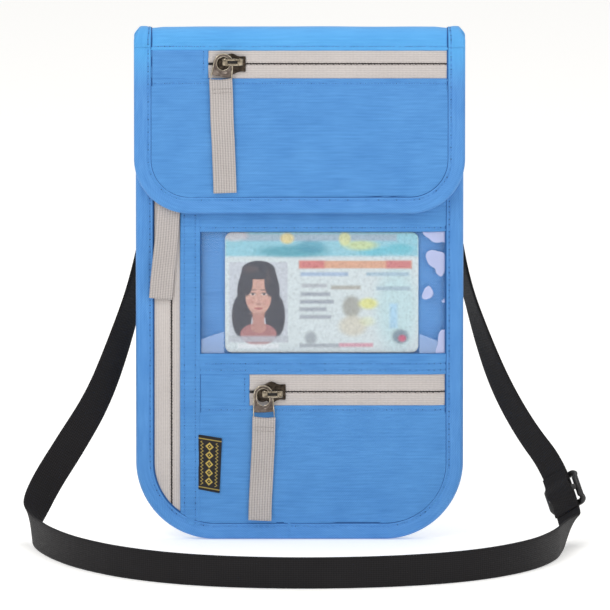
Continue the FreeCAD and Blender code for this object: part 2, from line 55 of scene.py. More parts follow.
def low(node):
    """Lowest corner of a CAD node."""
    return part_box(node)[0]


def high(node):
    """Highest corner of a CAD node."""
    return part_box(node)[1]


# ---- Places read from the frame ----
BODY_HALF_WIDTH = high("edge_binding_bottom").x
BODY_TOP = high("edge_binding_left").z
BODY_FACE = low("facing_strip").y
BACK_FACE = high("back_panel").y
FLAP_HALF_WIDTH = high("flap_binding").x
FLAP_BOTTOM = low("flap_binding").z
FLAP_TOP = high("flap_fold").z
FLAP_FACE = low("flap_panel").y
FLAP_REAR = high("flap_binding").y
BODY_CORNER = 35 * MM
FLAP_CORNER = 24.5 * MM
BINDING_WIDTH = 7.8 * MM


# ---- Camera, floor and light ----

CAMERA_DISTANCE = 10.0
CAMERA_ELEVATION = math.radians(9.5)
SENSOR_WIDTH = 36
# Metres across the picture at the pouch's face
PICTURE_WIDTH = 0.27


def make_camera():
    """A long lens in front of the pouch, a little above level."""
    target = Vector((2.4 * MM, BODY_FACE, 105.9 * MM))
    data = bpy.data.cameras.new("camera")
    data.lens = CAMERA_DISTANCE * SENSOR_WIDTH / PICTURE_WIDTH
    data.sensor_width = SENSOR_WIDTH
    camera = bpy.data.objects.new("camera", data)
    bpy.context.scene.collection.objects.link(camera)
    back = Vector((0, -math.cos(CAMERA_ELEVATION), math.sin(CAMERA_ELEVATION)))
    camera.location = target + back * CAMERA_DISTANCE
    camera.rotation_euler = (-back).to_track_quat("-Z", "Y").to_euler()
    data.clip_end = 3 * CAMERA_DISTANCE
    bpy.context.scene.camera = camera


def area_light(name, place, target, size, power):
    """A square soft light that faces a target."""
    data = bpy.data.lights.new(name, "AREA")
    data.size = size
    data.energy = power
    light = bpy.data.objects.new(name, data)
    light.location = place
    light.rotation_euler = (Vector(target) - Vector(place)).to_track_quat("-Z", "Y").to_euler()
    bpy.context.scene.collection.objects.link(light)


def make_stage():
    """A pale floor, a white surround and soft lights."""
    half = 6.0
    mesh = bpy.data.meshes.new("floor")
    corners = [(-half, -half, 0), (half, -half, 0), (half, half, 0), (-half, half, 0)]
    mesh.from_pydata(corners, [], [(0, 1, 2, 3)])
    floor = bpy.data.objects.new("floor", mesh)
    bpy.context.scene.collection.objects.link(floor)
    material = bpy.data.materials.new("floor")
    material.use_nodes = True
    shader = material.node_tree.nodes["Principled BSDF"]
    shader.inputs["Base Color"].default_value = (0.93, 0.92, 0.895, 1)
    shader.inputs["Roughness"].default_value = 0.9
    shader.inputs["Specular IOR Level"].default_value = 0.1
    shader.inputs["Emission Color"].default_value = (1, 1, 1, 1)
    shader.inputs["Emission Strength"].default_value = 0.3
    mesh.materials.append(material)
    world = bpy.data.worlds.new("surround")
    world.use_nodes = True
    world.node_tree.nodes["Background"].inputs["Color"].default_value = (1, 1, 1, 1)
    world.node_tree.nodes["Background"].inputs["Strength"].default_value = 0.62
    bpy.context.scene.world = world
    bpy.context.scene.view_settings.view_transform = "Standard"
    area_light("key", (-0.7, -1.1, 1.3), (0, 0, 0.12), 0.7, 9)
    area_light("fill", (0.9, -1.2, 0.7), (0, 0, 0.1), 0.9, 3)
    area_light("top", (0.1, 0.2, 1.4), (0, 0, 0.1), 0.8, 5)


make_camera()
make_stage()

# ---- Strap route: the middle line's points in metres, with the direction of the webbing's width ----
STRAP_START_Y = (low("strap_anchor_left").y + high("strap_anchor_left").y) / 2
STRAP_ROUTE = [
    ((-0.0540, STRAP_START_Y, 0.1960), (-1.0, 0.0, 0.0)),
    ((-0.0565, 0.0132, 0.1720), (-1.0, -0.1, 0.0)),
    ((-0.0630, 0.0154, 0.1430), (-0.85, -0.5, 0.05)),
    ((-0.0720, 0.0160, 0.1120), (-0.5, -0.82, 0.15)),
    ((-0.0808, 0.0124, 0.0840), (-0.7, -0.62, 0.3)),
    ((-0.0896, 0.0085, 0.0615), (-0.78, -0.45, 0.37)),
    ((-0.1020, 0.0048, 0.0415), (-0.88, -0.15, 0.42)),
    ((-0.1130, 0.0015, 0.0245), (-0.8, -0.18, 0.55)),
    ((-0.1183, -0.0035, 0.0130), (-0.45, -0.15, 0.88)),
    ((-0.1190, -0.0130, 0.0078), (-0.1, -0.05, 1.0)),
    ((-0.1160, -0.0270, 0.0071), (0.0, 0.0, 1.0)),
    ((-0.1090, -0.0500, 0.0071), (0.0, 0.0, 1.0)),
    ((-0.0970, -0.0740, 0.0071), (0.0, 0.0, 1.0)),
    ((-0.0760, -0.0987, 0.0071), (0.0, 0.0, 1.0)),
    ((-0.0450, -0.1168, 0.0071), (0.0, 0.0, 1.0)),
    ((-0.0030, -0.1240, 0.0071), (0.0, 0.0, 1.0)),
    ((0.0400, -0.1197, 0.0071), (0.0, 0.0, 1.0)),
    ((0.0760, -0.1054, 0.0071), (0.0, 0.0, 1.0)),
    ((0.1010, -0.0806, 0.0071), (0.0, 0.0, 1.0)),
    ((0.1128, -0.0540, 0.0071), (0.0, 0.0, 1.0)),
    ((0.1168, -0.0300, 0.0071), (0.12, 0.0, 1.0)),
    ((0.1198, -0.0149, 0.0074), (0.35, -0.1, 0.93)),
    ((0.1200, -0.0082, 0.0115), (0.68, -0.55, 0.45)),
    ((0.1123, 0.0022, 0.0328), (0.68, -0.55, 0.45)),
    ((0.1003, 0.0060, 0.0480), (0.64, -0.62, 0.45)),
    ((0.0892, 0.0098, 0.0675), (0.62, -0.7, 0.35)),
    ((0.0809, 0.0132, 0.0890), (0.5, -0.85, 0.2)),
    ((0.0735, 0.0162, 0.1130), (0.28, -0.95, 0.08)),
    ((0.0650, 0.0162, 0.1410), (0.75, -0.62, 0.1)),
    ((0.0570, 0.0134, 0.1710), (1.0, -0.1, 0.0)),
    ((0.0540, STRAP_START_Y, 0.1960), (1.0, 0.0, 0.0)),
]
STRAP_WIDTH = 14 * MM
STRAP_THICKNESS = 1.3 * MM


def spline_samples(name, points, resolution=14):
    """Points along the smooth NURBS line that has the given points as its control points."""
    curve = bpy.data.curves.new(name, "CURVE")
    curve.dimensions = "3D"
    curve.resolution_u = resolution
    spline = curve.splines.new("NURBS")
    spline.points.add(len(points) - 1)
    for control, point in zip(spline.points, points):
        control.co = (*point, 1.0)
    spline.order_u = 3
    spline.use_endpoint_u = True
    holder = bpy.data.objects.new(name, curve)
    line = bpy.data.meshes.new_from_object(holder)
    samples = [vertex.co.copy() for vertex in line.vertices]
    bpy.data.objects.remove(holder)
    bpy.data.curves.remove(curve)
    bpy.data.meshes.remove(line)
    return samples


STRAP_LINE = spline_samples("strap_line", [point for point, across in STRAP_ROUTE])
STRAP_ACROSS = spline_samples("strap_across", [across for point, across in STRAP_ROUTE])


# ---- Mesh helpers ----

def new_piece(name, vertices, faces, material, uvs):
    """A mesh object from vertices, faces and one UV pair for each vertex."""
    mesh = bpy.data.meshes.new(name)
    mesh.from_pydata([tuple(vertex) for vertex in vertices], [], faces)
    layer = mesh.uv_layers.new(name="cloth")
    for loop in mesh.loops:
        layer.data[loop.index].uv = uvs[loop.vertex_index]
    mesh.polygons.foreach_set("use_smooth", [True] * len(mesh.polygons))
    for one in material if isinstance(material, list) else [material]:
        mesh.materials.append(one)
    piece = bpy.data.objects.new(name, mesh)
    bpy.context.scene.collection.objects.link(piece)
    return piece


def attach(piece, body, slot, nodes=()):
    """Say what a piece rides on and hide the CAD nodes that it replaces; the slot argument is not used."""
    if body:
        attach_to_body(piece, body)
    if nodes:
        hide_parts(*nodes)
    return piece


def round_angles(count):
    """Even angles round a circle."""
    return [2 * math.pi * step / count for step in range(count)]


def grid_rim(rows, columns):
    """The border vertices of a grid, in order round it."""
    rim = list(range(columns))
    rim += [row * columns + columns - 1 for row in range(1, rows)]
    rim += [(rows - 1) * columns + column for column in range(columns - 2, -1, -1)]
    rim += [row * columns for row in range(rows - 2, 0, -1)]
    return rim


def grid_faces(rows, columns, wrap_columns=False, first=0):
    """Quads over a grid of vertices stored row after row."""
    faces = []
    for row in range(rows - 1):
        for column in range(columns if wrap_columns else columns - 1):
            after = (column + 1) % columns
            a = first + row * columns + column
            b = first + row * columns + after
            faces.append((a, b, b + columns, a + columns))
    return faces


def frames_along(line, across):
    """Unit tangent, width direction and normal at each point of a line."""
    result = []
    for index in range(len(line)):
        before = line[max(index - 1, 0)]
        after = line[min(index + 1, len(line) - 1)]
        tangent = (after - before).normalized()
        width = (across[index] - tangent * across[index].dot(tangent)).normalized()
        result.append((tangent, width, tangent.cross(width).normalized()))
    return result


# ---- Materials ----

def linear(hex_colour):
    """The linear colour for a hex colour such as 5a99dd."""
    values = [int(hex_colour[index:index + 2], 16) / 255 for index in (0, 2, 4)]
    return tuple(v / 12.92 if v <= 0.04045 else ((v + 0.055) / 1.055) ** 2.4 for v in values) + (1.0,)


class Shades:
    """A material's node tree, with short calls for its nodes."""

    def __init__(self, name, **sockets):
        self.material = bpy.data.materials.new(name)
        self.material.use_nodes = True
        self.tree = self.material.node_tree
        self.shader = self.tree.nodes["Principled BSDF"]
        for key, value in sockets.items():
            self.shader.inputs[key.replace("_", " ")].default_value = value

    def add(self, kind, inputs=None, **settings):
        """A node whose inputs are values or other nodes' outputs."""
        node = self.tree.nodes.new(kind)
        for key, value in settings.items():
            setattr(node, key, value)
        for key, value in (inputs or {}).items():
            if isinstance(value, bpy.types.NodeSocket):
                self.tree.links.new(value, node.inputs[key])
            else:
                node.inputs[key].default_value = value
        return node

    def math(self, operation, first, second=0.0, third=None):
        """The result of one sum."""
        inputs = {0: first, 1: second}
        if third is not None:
            inputs[2] = third
        return self.add("ShaderNodeMath", inputs, operation=operation).outputs[0]

    def weigh(self, *terms):
        """The sum of values, each times its own weight."""
        parts = [self.math("MULTIPLY", value, weight) for value, weight in terms]
        total = parts[0]
        for part in parts[1:]:
            total = self.math("ADD", total, part)
        return total

    def uv(self):
        """The two directions over the cloth, in metres."""
        place = self.add("ShaderNodeUVMap", uv_map="cloth").outputs["UV"]
        split = self.add("ShaderNodeSeparateXYZ", {0: place})
        return split.outputs["X"], split.outputs["Y"]

    def space(self):
        """The place on the object at rest, in metres."""
        return self.add("ShaderNodeTexCoord").outputs["Object"]

    def noise(self, scale, detail=2.0, vector=None, roughness=0.5):
        """Cloudy variation from 0 to 1; scale is in cycles for each metre."""
        inputs = {"Scale": scale, "Detail": detail, "Roughness": roughness}
        inputs["Vector"] = vector if vector is not None else self.space()
        return self.add("ShaderNodeTexNoise", inputs).outputs["Fac"]

    def ramp(self, value, low_in, high_in, low_out=0.0, high_out=1.0):
        """Map a value from one range to another, held at the ends."""
        inputs = {"Value": value, "From Min": low_in, "From Max": high_in}
        inputs |= {"To Min": low_out, "To Max": high_out}
        return self.add("ShaderNodeMapRange", inputs).outputs["Result"]

    def rib(self, distance, pitch, shift=0.0):
        """The height from 0 to 1 of a rib that repeats at a pitch."""
        turns = self.math("MULTIPLY_ADD", distance, 2 * math.pi / pitch, shift)
        return self.math("MULTIPLY_ADD", self.math("SINE", turns), 0.5, 0.5)

    def mix(self, amount, first, second):
        """A blend between two colours."""
        node = self.add("ShaderNodeMix", data_type="RGBA")
        for key, value in ((0, amount), (6, first), (7, second)):
            if isinstance(value, bpy.types.NodeSocket):
                self.tree.links.new(value, node.inputs[key])
            else:
                node.inputs[key].default_value = value
        return node.outputs[2]

    def bump(self, height, strength, distance):
        """Send a height to the shader's normal."""
        inputs = {"Height": height, "Strength": strength, "Distance": distance}
        node = self.add("ShaderNodeBump", inputs)
        self.tree.links.new(node.outputs["Normal"], self.shader.inputs["Normal"])

    def colour(self, value):
        """Send a colour to the shader."""
        self.tree.links.new(value, self.shader.inputs["Base Color"])

    def rough(self, value):
        """Send a roughness to the shader."""
        self.tree.links.new(value, self.shader.inputs["Roughness"])


# Heights in metres between which the lighter colours, painted light from above, take over
PAINTED_LIGHT_HEIGHTS = (0.204, 0.220)


def woven_cloth(name, light, dark, across_pitch=0.62 * MM, along_pitch=0.8 * MM, painted_lit_top=None):
    """Plain-woven polyester: weft ribs, warp threads, slubs and mottling; lighter colours take over high up,
    as painted light from above.
    """
    cloth = Shades(name, Roughness=0.62, Sheen_Weight=0.12, Specular_IOR_Level=0.3)
    cloth.shader.inputs["Sheen Roughness"].default_value = 0.4
    along, up = cloth.uv()
    weft = cloth.rib(up, across_pitch)
    shifted = cloth.math("MULTIPLY_ADD", up, math.pi / across_pitch)
    warp = cloth.rib(along, along_pitch, shifted)
    threads = cloth.weigh((weft, 0.65), (warp, 0.35))
    streaks = cloth.add("ShaderNodeCombineXYZ", {0: cloth.math("MULTIPLY", along, 0.08), 1: up}).outputs[0]
    slubs = cloth.noise(1100.0, 2.0, streaks)
    mottling = cloth.noise(70.0, 3.0)
    amount = cloth.ramp(cloth.weigh((threads, 0.35), (slubs, 0.4), (mottling, 0.25)), 0.25, 0.75)
    colour = cloth.mix(amount, linear(dark), linear(light))
    # Painted light from above: the colours lighten towards the top
    if painted_lit_top:
        height = cloth.add("ShaderNodeSeparateXYZ", {0: cloth.space()}).outputs["Z"]
        brighter = cloth.mix(amount, *[linear(shade) for shade in painted_lit_top])
        colour = cloth.mix(cloth.ramp(height, *PAINTED_LIGHT_HEIGHTS), colour, brighter)
    cloth.colour(colour)
    cloth.rough(cloth.ramp(slubs, 0.3, 0.7, 0.55, 0.72))
    cloth.bump(cloth.weigh((threads, 1.0), (slubs, 0.5)), 0.55, 0.12 * MM)
    return cloth.material


def webbing(name, light, dark, rib_pitch, pick_pitch, sheen=0.15, specular=0.35):
    """Woven narrow tape: ribs along its length and finer picks across it; U runs along, V across."""
    tape = Shades(name, Roughness=0.6, Sheen_Weight=sheen, Specular_IOR_Level=specular)
    along, across = tape.uv()
    ribs = tape.rib(across, rib_pitch)
    picks = tape.rib(along, pick_pitch)
    threads = tape.weigh((ribs, 0.6), (picks, 0.4))
    fuzz = tape.noise(1500.0, 3.0)
    clouds = tape.noise(60.0, 2.0)
    tone = tape.weigh((threads, 0.5), (fuzz, 0.3), (clouds, 0.2))
    tape.colour(tape.mix(tape.ramp(tone, 0.25, 0.75), linear(dark), linear(light)))
    tape.rough(tape.ramp(fuzz, 0.3, 0.7, 0.5, 0.72))
    tape.bump(tape.weigh((threads, 1.0), (fuzz, 0.3)), 0.7, 0.15 * MM)
    return tape.material


def moulded_plastic(name, light, dark, roughness=0.35):
    """Moulded plastic with a fine sparked texture and rubbed lighter patches."""
    plastic = Shades(name, Roughness=roughness, Specular_IOR_Level=0.5)
    grain = plastic.noise(2200.0, 2.0)
    rubbed = plastic.noise(260.0, 3.0)
    plastic.colour(plastic.mix(plastic.ramp(rubbed, 0.4, 0.75), linear(dark), linear(light)))
    plastic.rough(plastic.ramp(rubbed, 0.3, 0.8, roughness - 0.06, roughness + 0.14))
    plastic.bump(grain, 0.35, 0.06 * MM)
    return plastic.material


BLACK_WEBBING = webbing("black_webbing", "222022", "100f10", 0.9 * MM, 1.1 * MM, 0.02, 0.14)
BLACK_PLASTIC = moulded_plastic("black_plastic", "2a2929", "131213")


# ---- Neck strap, anchors and buckle ----

def ribbon_section(width, thickness, crown=0.12, steps=10):
    """Outline of a flat woven band: slightly crowned faces and rounded selvedges, as (across, up) pairs."""
    half_width = width / 2
    half = thickness / 2
    outline = []
    for side in (1, -1):
        for step in range(steps + 1):
            part = side * (1 - 2 * step / steps)
            rise = half * (1 - crown * part ** 4)
            outline.append((part * (half_width - half * 0.8), side * rise))
        for turn in (45, 0, -45):
            angle = math.radians(turn)
            edge = half_width - half * 0.8 + half * 0.8 * math.cos(angle)
            outline.append((-side * edge, side * half * 0.88 * math.sin(angle)))
    return outline


def sweep_band(name, line, across, section, material, offset=0.0):
    """A closed band of one section swept along a line, with UVs in metres along and across it."""
    frames = frames_along(line, across)
    vertices = []
    uvs = []
    travelled = 0.0
    for index, (point, (_, width, normal)) in enumerate(zip(line, frames)):
        if index:
            travelled += (point - line[index - 1]).length
        for side, rise in section:
            vertices.append(point + width * side + normal * (rise + offset))
            uvs.append((travelled, side))
    columns = len(section)
    faces = grid_faces(len(line), columns, wrap_columns=True)
    faces.append(tuple(reversed(range(columns))))
    last = (len(line) - 1) * columns
    faces.append(tuple(range(last, last + columns)))
    return new_piece(name, vertices, faces, material, uvs)


def make_strap():
    """The loop of black webbing from one rear anchor to the other."""
    section = ribbon_section(STRAP_WIDTH, STRAP_THICKNESS)
    strap = sweep_band("neck_strap", STRAP_LINE, STRAP_ACROSS, section, BLACK_WEBBING)
    return attach(strap, "pouch", "black_webbing", ["strap_webbing"])


STRAP = make_strap()


# ---- Cloth shapes ----
BODY_MIDDLE = (BODY_FACE + BACK_FACE) / 2
BODY_HALF_DEPTH = (BACK_FACE - BODY_FACE) / 2
EDGE_HALF_DEPTH = 2.4 * MM
CROWN_WIDTH = 15 * MM
FLAP_EDGE_DROP = 0.7 * MM
FLAP_CROWN_WIDTH = 12 * MM
SEAM_ALLOWANCE = 2.6 * MM
CLOTH_STEP = 0.8 * MM
PANEL_CLOTH = 0.7 * MM
PATCH_CLOTH = 0.6 * MM
TAPE_CLOTH = 0.45 * MM
THREAD_RADIUS = 0.2 * MM
HOLE_RADIUS = 0.3 * MM
HOLE_CORNERS = 8
STITCH_PITCH = 2.7 * MM
BODY_OUTLINE = (BODY_HALF_WIDTH, 0.0, BODY_CORNER)
FLAP_OUTLINE = (FLAP_HALF_WIDTH, FLAP_BOTTOM, FLAP_CORNER)


def smooth(part):
    """An even rise from 0 to 1."""
    part = min(max(part, 0.0), 1.0)
    return part * part * (3 - 2 * part)


def cloud(x, z, size, seed):
    """Gentle unevenness from -1 to 1."""
    return noise.noise(Vector((x / size, z / size, seed)))


def groove(distance, width, depth):
    """The hollow that a row of stitches pulls into cloth."""
    return -depth * math.exp(-(distance / width) ** 2)


def pucker(along, distance, seed, height=0.16 * MM, reach=4 * MM):
    """Small ripples beside a row of stitches."""
    return height * cloud(along, distance * 0.4, 4.2 * MM, seed) * math.exp(-(distance / reach) ** 2)


def stitched(along, distance, seed, width=0.5 * MM):
    """The hollow and the ripples of one row of stitches."""
    return groove(distance, width, 0.2 * MM) + pucker(along, distance, seed)


def inset(x, z, outline):
    """Distance inwards from an outline with straight sides and a rounded lower end."""
    half_width, bottom, corner = outline
    side = abs(x) - (half_width - corner)
    down = bottom + corner - z
    outside = math.hypot(max(side, 0), max(down, 0))
    return corner - outside - min(max(side, down), 0)


def lower_edge(x, outline, margin):
    """Height of the outline's lower end, a margin inside it, at one x."""
    half_width, bottom, corner = outline
    radius = corner - margin
    side = min(max(abs(x) - (half_width - corner), 0), radius)
    return bottom + corner - math.sqrt(radius ** 2 - side ** 2)


def body_half(x, z):
    """Half the pouch's thickness, which falls away towards its bound edge."""
    rise = smooth(inset(x, z, BODY_OUTLINE) / CROWN_WIDTH)
    return EDGE_HALF_DEPTH + (BODY_HALF_DEPTH - EDGE_HALF_DEPTH) * rise


def body_front(x, z):
    """The front of the pouch, with gentle unevenness."""
    return BODY_MIDDLE - body_half(x, z) + 0.2 * MM * cloud(x, z, 33 * MM, 1.5)


def body_back(x, z):
    """The back of the pouch, with gentle unevenness."""
    return BODY_MIDDLE + body_half(x, z) - 0.25 * MM * abs(cloud(x, z, 38 * MM, 4.5))


def flap_front(x, z):
    """The front of the closed flap, which falls away towards its bound edge."""
    fall = 1 - smooth(inset(x, z, FLAP_OUTLINE) / FLAP_CROWN_WIDTH)
    fall *= smooth((FLAP_TOP - 5 * MM - z) / (40 * MM))
    return FLAP_FACE + FLAP_EDGE_DROP * fall + 0.16 * MM * cloud(x, z, 30 * MM, 7.5)


def flap_back(x, z):
    """The back of the closed flap."""
    fall = 1 - smooth(inset(x, z, FLAP_OUTLINE) / FLAP_CROWN_WIDTH)
    return FLAP_REAR - 0.35 * MM - 0.1 * MM * fall


def stations(length, step):
    """Places along a side from 0 to its length, closer together at both ends."""
    ends = [distance for distance in (0, 0.15 * MM, 0.4 * MM) if distance < length / 3]
    start = ends[-1]
    count = max(1, round((length - 2 * start) / step))
    middle = [start + (length - 2 * start) * index / count for index in range(1, count)]
    return ends + middle + [length - distance for distance in reversed(ends)]


def edge_round(distance, radius, height):
    """How far a folded edge drops, a distance in from it."""
    part = min(max(distance / radius, 0), 1)
    return -height * (1 - math.sqrt(1 - (1 - part) ** 2))


def cloth_slab(name, x_range, z_range, face, thickness, material, body, slot, nodes=(), outward=-1,
               lift=0.0, outline=None, relief=None, step=CLOTH_STEP, margin=SEAM_ALLOWANCE, turned=False):
    """A closed panel of cloth over a surface, with rounded edges and its own relief."""
    x_places = [x_range[0] + place for place in stations(x_range[1] - x_range[0], step)]
    tallest = z_range[1] - z_range[0]
    z_places = stations(tallest, step)
    outer, inner, uvs = [], [], []
    for part in z_places:
        for x in x_places:
            bottom = max(z_range[0], lower_edge(x, outline, margin)) if outline else z_range[0]
            z = bottom + (z_range[1] - bottom) * part / tallest
            border = min(x - x_range[0], x_range[1] - x, z - bottom, z_range[1] - z)
            rise = lift + edge_round(border, 0.5 * MM, min(thickness, 0.5 * MM))
            rise += relief(x, z) if relief else 0.0
            surface = face(x, z)
            outer.append((x, surface + outward * rise, z))
            inner.append((x, surface + outward * (lift - thickness), z))
            uvs.append((z, x) if turned else (x, z))
    columns, rows = len(x_places), len(z_places)
    front_faces = grid_faces(rows, columns)
    if outward > 0:
        front_faces = [tuple(reversed(face_loop)) for face_loop in front_faces]
    count = len(outer)
    faces = front_faces + [tuple(reversed([corner + count for corner in loop])) for loop in front_faces]
    rim = grid_rim(rows, columns)
    if outward > 0:
        rim.reverse()
    for corner, after in zip(rim, rim[1:] + rim[:1]):
        faces.append((after, corner, corner + count, after + count))
    return attach(new_piece(name, outer + inner, faces, material, uvs + uvs), body, slot, nodes)


def outline_path(outline, top, step=CLOTH_STEP):
    """Points round an outline from its top left, down, across and up, each with the inward direction."""
    half_width, bottom, corner = outline
    path = []
    straight = top - bottom - corner
    count = round(straight / step)
    for index in range(count):
        path.append(((-half_width, top - straight * index / count), (1.0, 0.0)))
    arc_count = round(corner * math.pi / 2 / step)
    for index in range(arc_count):
        angle = math.pi / 2 * index / arc_count
        across, down = math.cos(angle), math.sin(angle)
        centre = (-half_width + corner, bottom + corner)
        path.append(((centre[0] - corner * across, centre[1] - corner * down), (across, down)))
    width = 2 * (half_width - corner)
    count = round(width / step)
    for index in range(count):
        path.append(((-half_width + corner + width * index / count, bottom), (0.0, 1.0)))
    mirrored = [((-x, z), (-across, down)) for (x, z), (across, down) in path[:-count]]
    path.append(((half_width - corner, bottom), (0.0, 1.0)))
    return path + mirrored[::-1]


def outline_stations(outline, top, front, back, seam_x=None):
    """Places for a binding round an outline, each with its edge point, its directions and its faces."""
    result = []
    for (x, z), (in_x, in_z) in outline_path(outline, top):
        join = 0.0
        if seam_x is not None and z < 1 * MM:
            join = groove(x - seam_x, 0.6 * MM, 0.35 * MM)
            join += 0.25 * MM * smooth(1 - abs(x - seam_x + 4 * MM) / (4 * MM))

        def front_height(away, x=x, z=z, in_x=in_x, in_z=in_z):
            return -front(x + in_x * away, z + in_z * away)

        def back_height(away, x=x, z=z, in_x=in_x, in_z=in_z):
            return -back(x + in_x * away, z + in_z * away)

        inward = Vector((in_x, 0, in_z))
        result.append((Vector((x, 0, z)), inward, Vector((0, -1, 0)), front_height, back_height, join))
    return result


def make_binding(name, places, material, slot, nodes, turn=2.0 * MM):
    """A folded tape sewn over an edge: front leg, rounded edge and rear leg as one closed band."""
    wall = TAPE_CLOTH
    stitch = BINDING_WIDTH - 1.5 * MM
    leg = [BINDING_WIDTH - distance * MM
           for distance in (-0.4, 0, 0.12, 0.35, 0.8, 1.15, 1.5, 1.85, 2.3, 3.2, 4.4, 5.4)]
    arc = [math.radians(angle) for angle in range(0, 181, 18)]
    vertices, uvs, front_row, back_row = [], [], [], []
    travelled = 0.0
    for index, (origin, inward, normal, front, back, join) in enumerate(places):
        if index:
            travelled += (origin - places[index - 1][0]).length
        tug = 0.5 + 0.5 * math.cos(2 * math.pi * travelled / STITCH_PITCH)

        def lift(away):
            if away > BINDING_WIDTH:
                return 0.3 * MM + join
            rise = 0.62 * MM + edge_round(BINDING_WIDTH - away, 0.45 * MM, 0.35 * MM) + join
            rise += groove(away - stitch, 0.55 * MM, 0.22 * MM + 0.1 * MM * tug)
            rise += 0.22 * MM * math.sin(math.pi * min(away / stitch, 1))
            return rise + pucker(travelled, away - stitch, 9.1, 0.1 * MM)

        def contour(thickness):
            ahead = [(away, front(away) + lift(away) - thickness) for away in leg]
            behind = [(away, back(away) - lift(away) + thickness) for away in leg[::-1]]
            top = front(turn) + lift(turn) - thickness
            bottom = back(turn) - lift(turn) + thickness
            reach = turn - thickness
            middle, half = (top + bottom) / 2, (top - bottom) / 2
            bend = [(turn - reach * math.sin(angle), middle + half * math.cos(angle)) for angle in arc]
            return ahead + bend + behind

        seat = origin + inward * stitch
        front_row.append((seat + normal * (front(stitch) + lift(stitch)), normal))
        back_row.append((seat + normal * (back(stitch) - lift(stitch)), -normal))
        outer = contour(0.0)
        inner = contour(wall)[::-1]
        for number, (away, height) in enumerate(outer + inner):
            vertices.append(origin + inward * away + normal * height)
            uvs.append((travelled, away if number < len(outer) / 2 else -away))
    columns = len(vertices) // len(places)
    faces = [tuple(reversed(loop)) for loop in grid_faces(len(places), columns, wrap_columns=True)]
    faces.append(tuple(range(columns)))
    last = len(vertices) - columns
    faces.append(tuple(range(last + columns - 1, last - 1, -1)))
    binding = new_piece(name, vertices, faces, [material, SEAM_SHADE], uvs)
    rear_edge = 2 * len(leg) + len(arc) - 2
    for polygon in binding.data.polygons[:(len(places) - 1) * columns]:
        column = polygon.index % columns
        if column < 3 or rear_edge - 3 < column <= rear_edge:
            polygon.material_index = 1
    return attach(binding, None, slot, nodes), [front_row, back_row]


def seam(face, outward, lift, corners, relief=None, step=0.4 * MM):
    """Points and outward directions over a surface along straight runs, for a row of stitches."""
    row = []
    for (x0, z0), (x1, z1) in zip(corners, corners[1:]):
        count = max(1, round(math.hypot(x1 - x0, z1 - z0) / step))
        for index in range(count):
            x = x0 + (x1 - x0) * index / count
            z = z0 + (z1 - z0) * index / count
            rise = lift + (relief(x, z) if relief else 0.0)
            row.append((Vector((x, face(x, z) + outward * rise, z)), Vector((0, outward, 0))))
    return row


def sew(name, rows, material, body, slot, pitch=STITCH_PITCH, radius=THREAD_RADIUS, hole=None):
    """Rows of short raised threads with a needle hole between each two; the holes are dark lenses of painted
    shade unless another material is given.
    """
    rings = 5
    around = 6
    half_stitch = pitch * 0.36
    vertices, faces, uvs, hole_faces = [], [], [], set()
    for row in rows:
        travelled = 0.0
        due = pitch / 2
        for (before, _), (after, out) in zip(row, row[1:]):
            travelled += (after - before).length
            if travelled < due:
                continue
            due += pitch
            ahead = (after - before).normalized()
            out = (out - ahead * out.dot(ahead)).normalized()
            side = ahead.cross(out)
            first = len(vertices)
            for ring in range(rings):
                part = 2 * ring / (rings - 1) - 1
                thick = radius * (1 - 0.45 * part ** 4)
                centre = after + ahead * (part * half_stitch) + out * radius * (0.35 - 1.4 * part ** 4)
                for angle in round_angles(around):
                    vertices.append(centre + side * math.cos(angle) * thick + out * math.sin(angle) * thick)
                    uvs.append((travelled + part * half_stitch, angle * radius))
            faces += grid_faces(rings, around, wrap_columns=True, first=first)
            faces.append(tuple(range(first + around - 1, first - 1, -1)))
            last = first + (rings - 1) * around
            faces.append(tuple(range(last, last + around)))
            hole_faces.update(len(faces) + face for face in range(2 * HOLE_CORNERS))
            add_hole(after + ahead * pitch / 2, ahead, side, out, vertices, faces)
            uvs += [(0.0, 0.0)] * (len(vertices) - len(uvs))
    piece = new_piece(name, vertices, faces, [material, hole or NEEDLE_HOLE_SHADE], uvs)
    for polygon in hole_faces:
        piece.data.polygons[polygon].material_index = 1
    return attach(piece, body, slot)


def add_hole(centre, ahead, side, out, vertices, faces):
    """A tiny closed lens in the cloth, where the needle went through, which carries the hole's material,
    painted shade for most rows.
    """
    first = len(vertices)
    for angle in round_angles(HOLE_CORNERS):
        offset = ahead * math.cos(angle) * HOLE_RADIUS + side * math.sin(angle) * HOLE_RADIUS * 0.8
        vertices.append(centre + offset)
    vertices.append(centre + out * 0.16 * MM)
    vertices.append(centre - out * 0.3 * MM)
    for corner in range(HOLE_CORNERS):
        after = first + (corner + 1) % HOLE_CORNERS
        faces.append((first + corner, after, first + HOLE_CORNERS))
        faces.append((after, first + corner, first + HOLE_CORNERS + 1))


BLUE_CLOTH = woven_cloth("blue_cloth", "5f9fdd", "3877ba")
# A lighter copy of the blue cloth for the fold over the top: painted light from above
FOLD_CLOTH_PAINTED_LIT = woven_cloth("fold_cloth_painted_lit", "62b1ec", "4292d4")
# The binding's colours lighten towards the top: painted light from above
BLUE_BINDING = woven_cloth("blue_binding", "629fde", "3b7bc0", 0.5 * MM, 1.3 * MM,
                           painted_lit_top=("4292d4", "62b1ec"))
BLUE_THREAD = woven_cloth("blue_thread", "5b98d8", "3d7bbd", 0.3 * MM, 0.3 * MM)
SEAM_SHADE = woven_cloth("seam_shade", "2c64a4", "1f4f88", 0.3 * MM, 0.3 * MM)
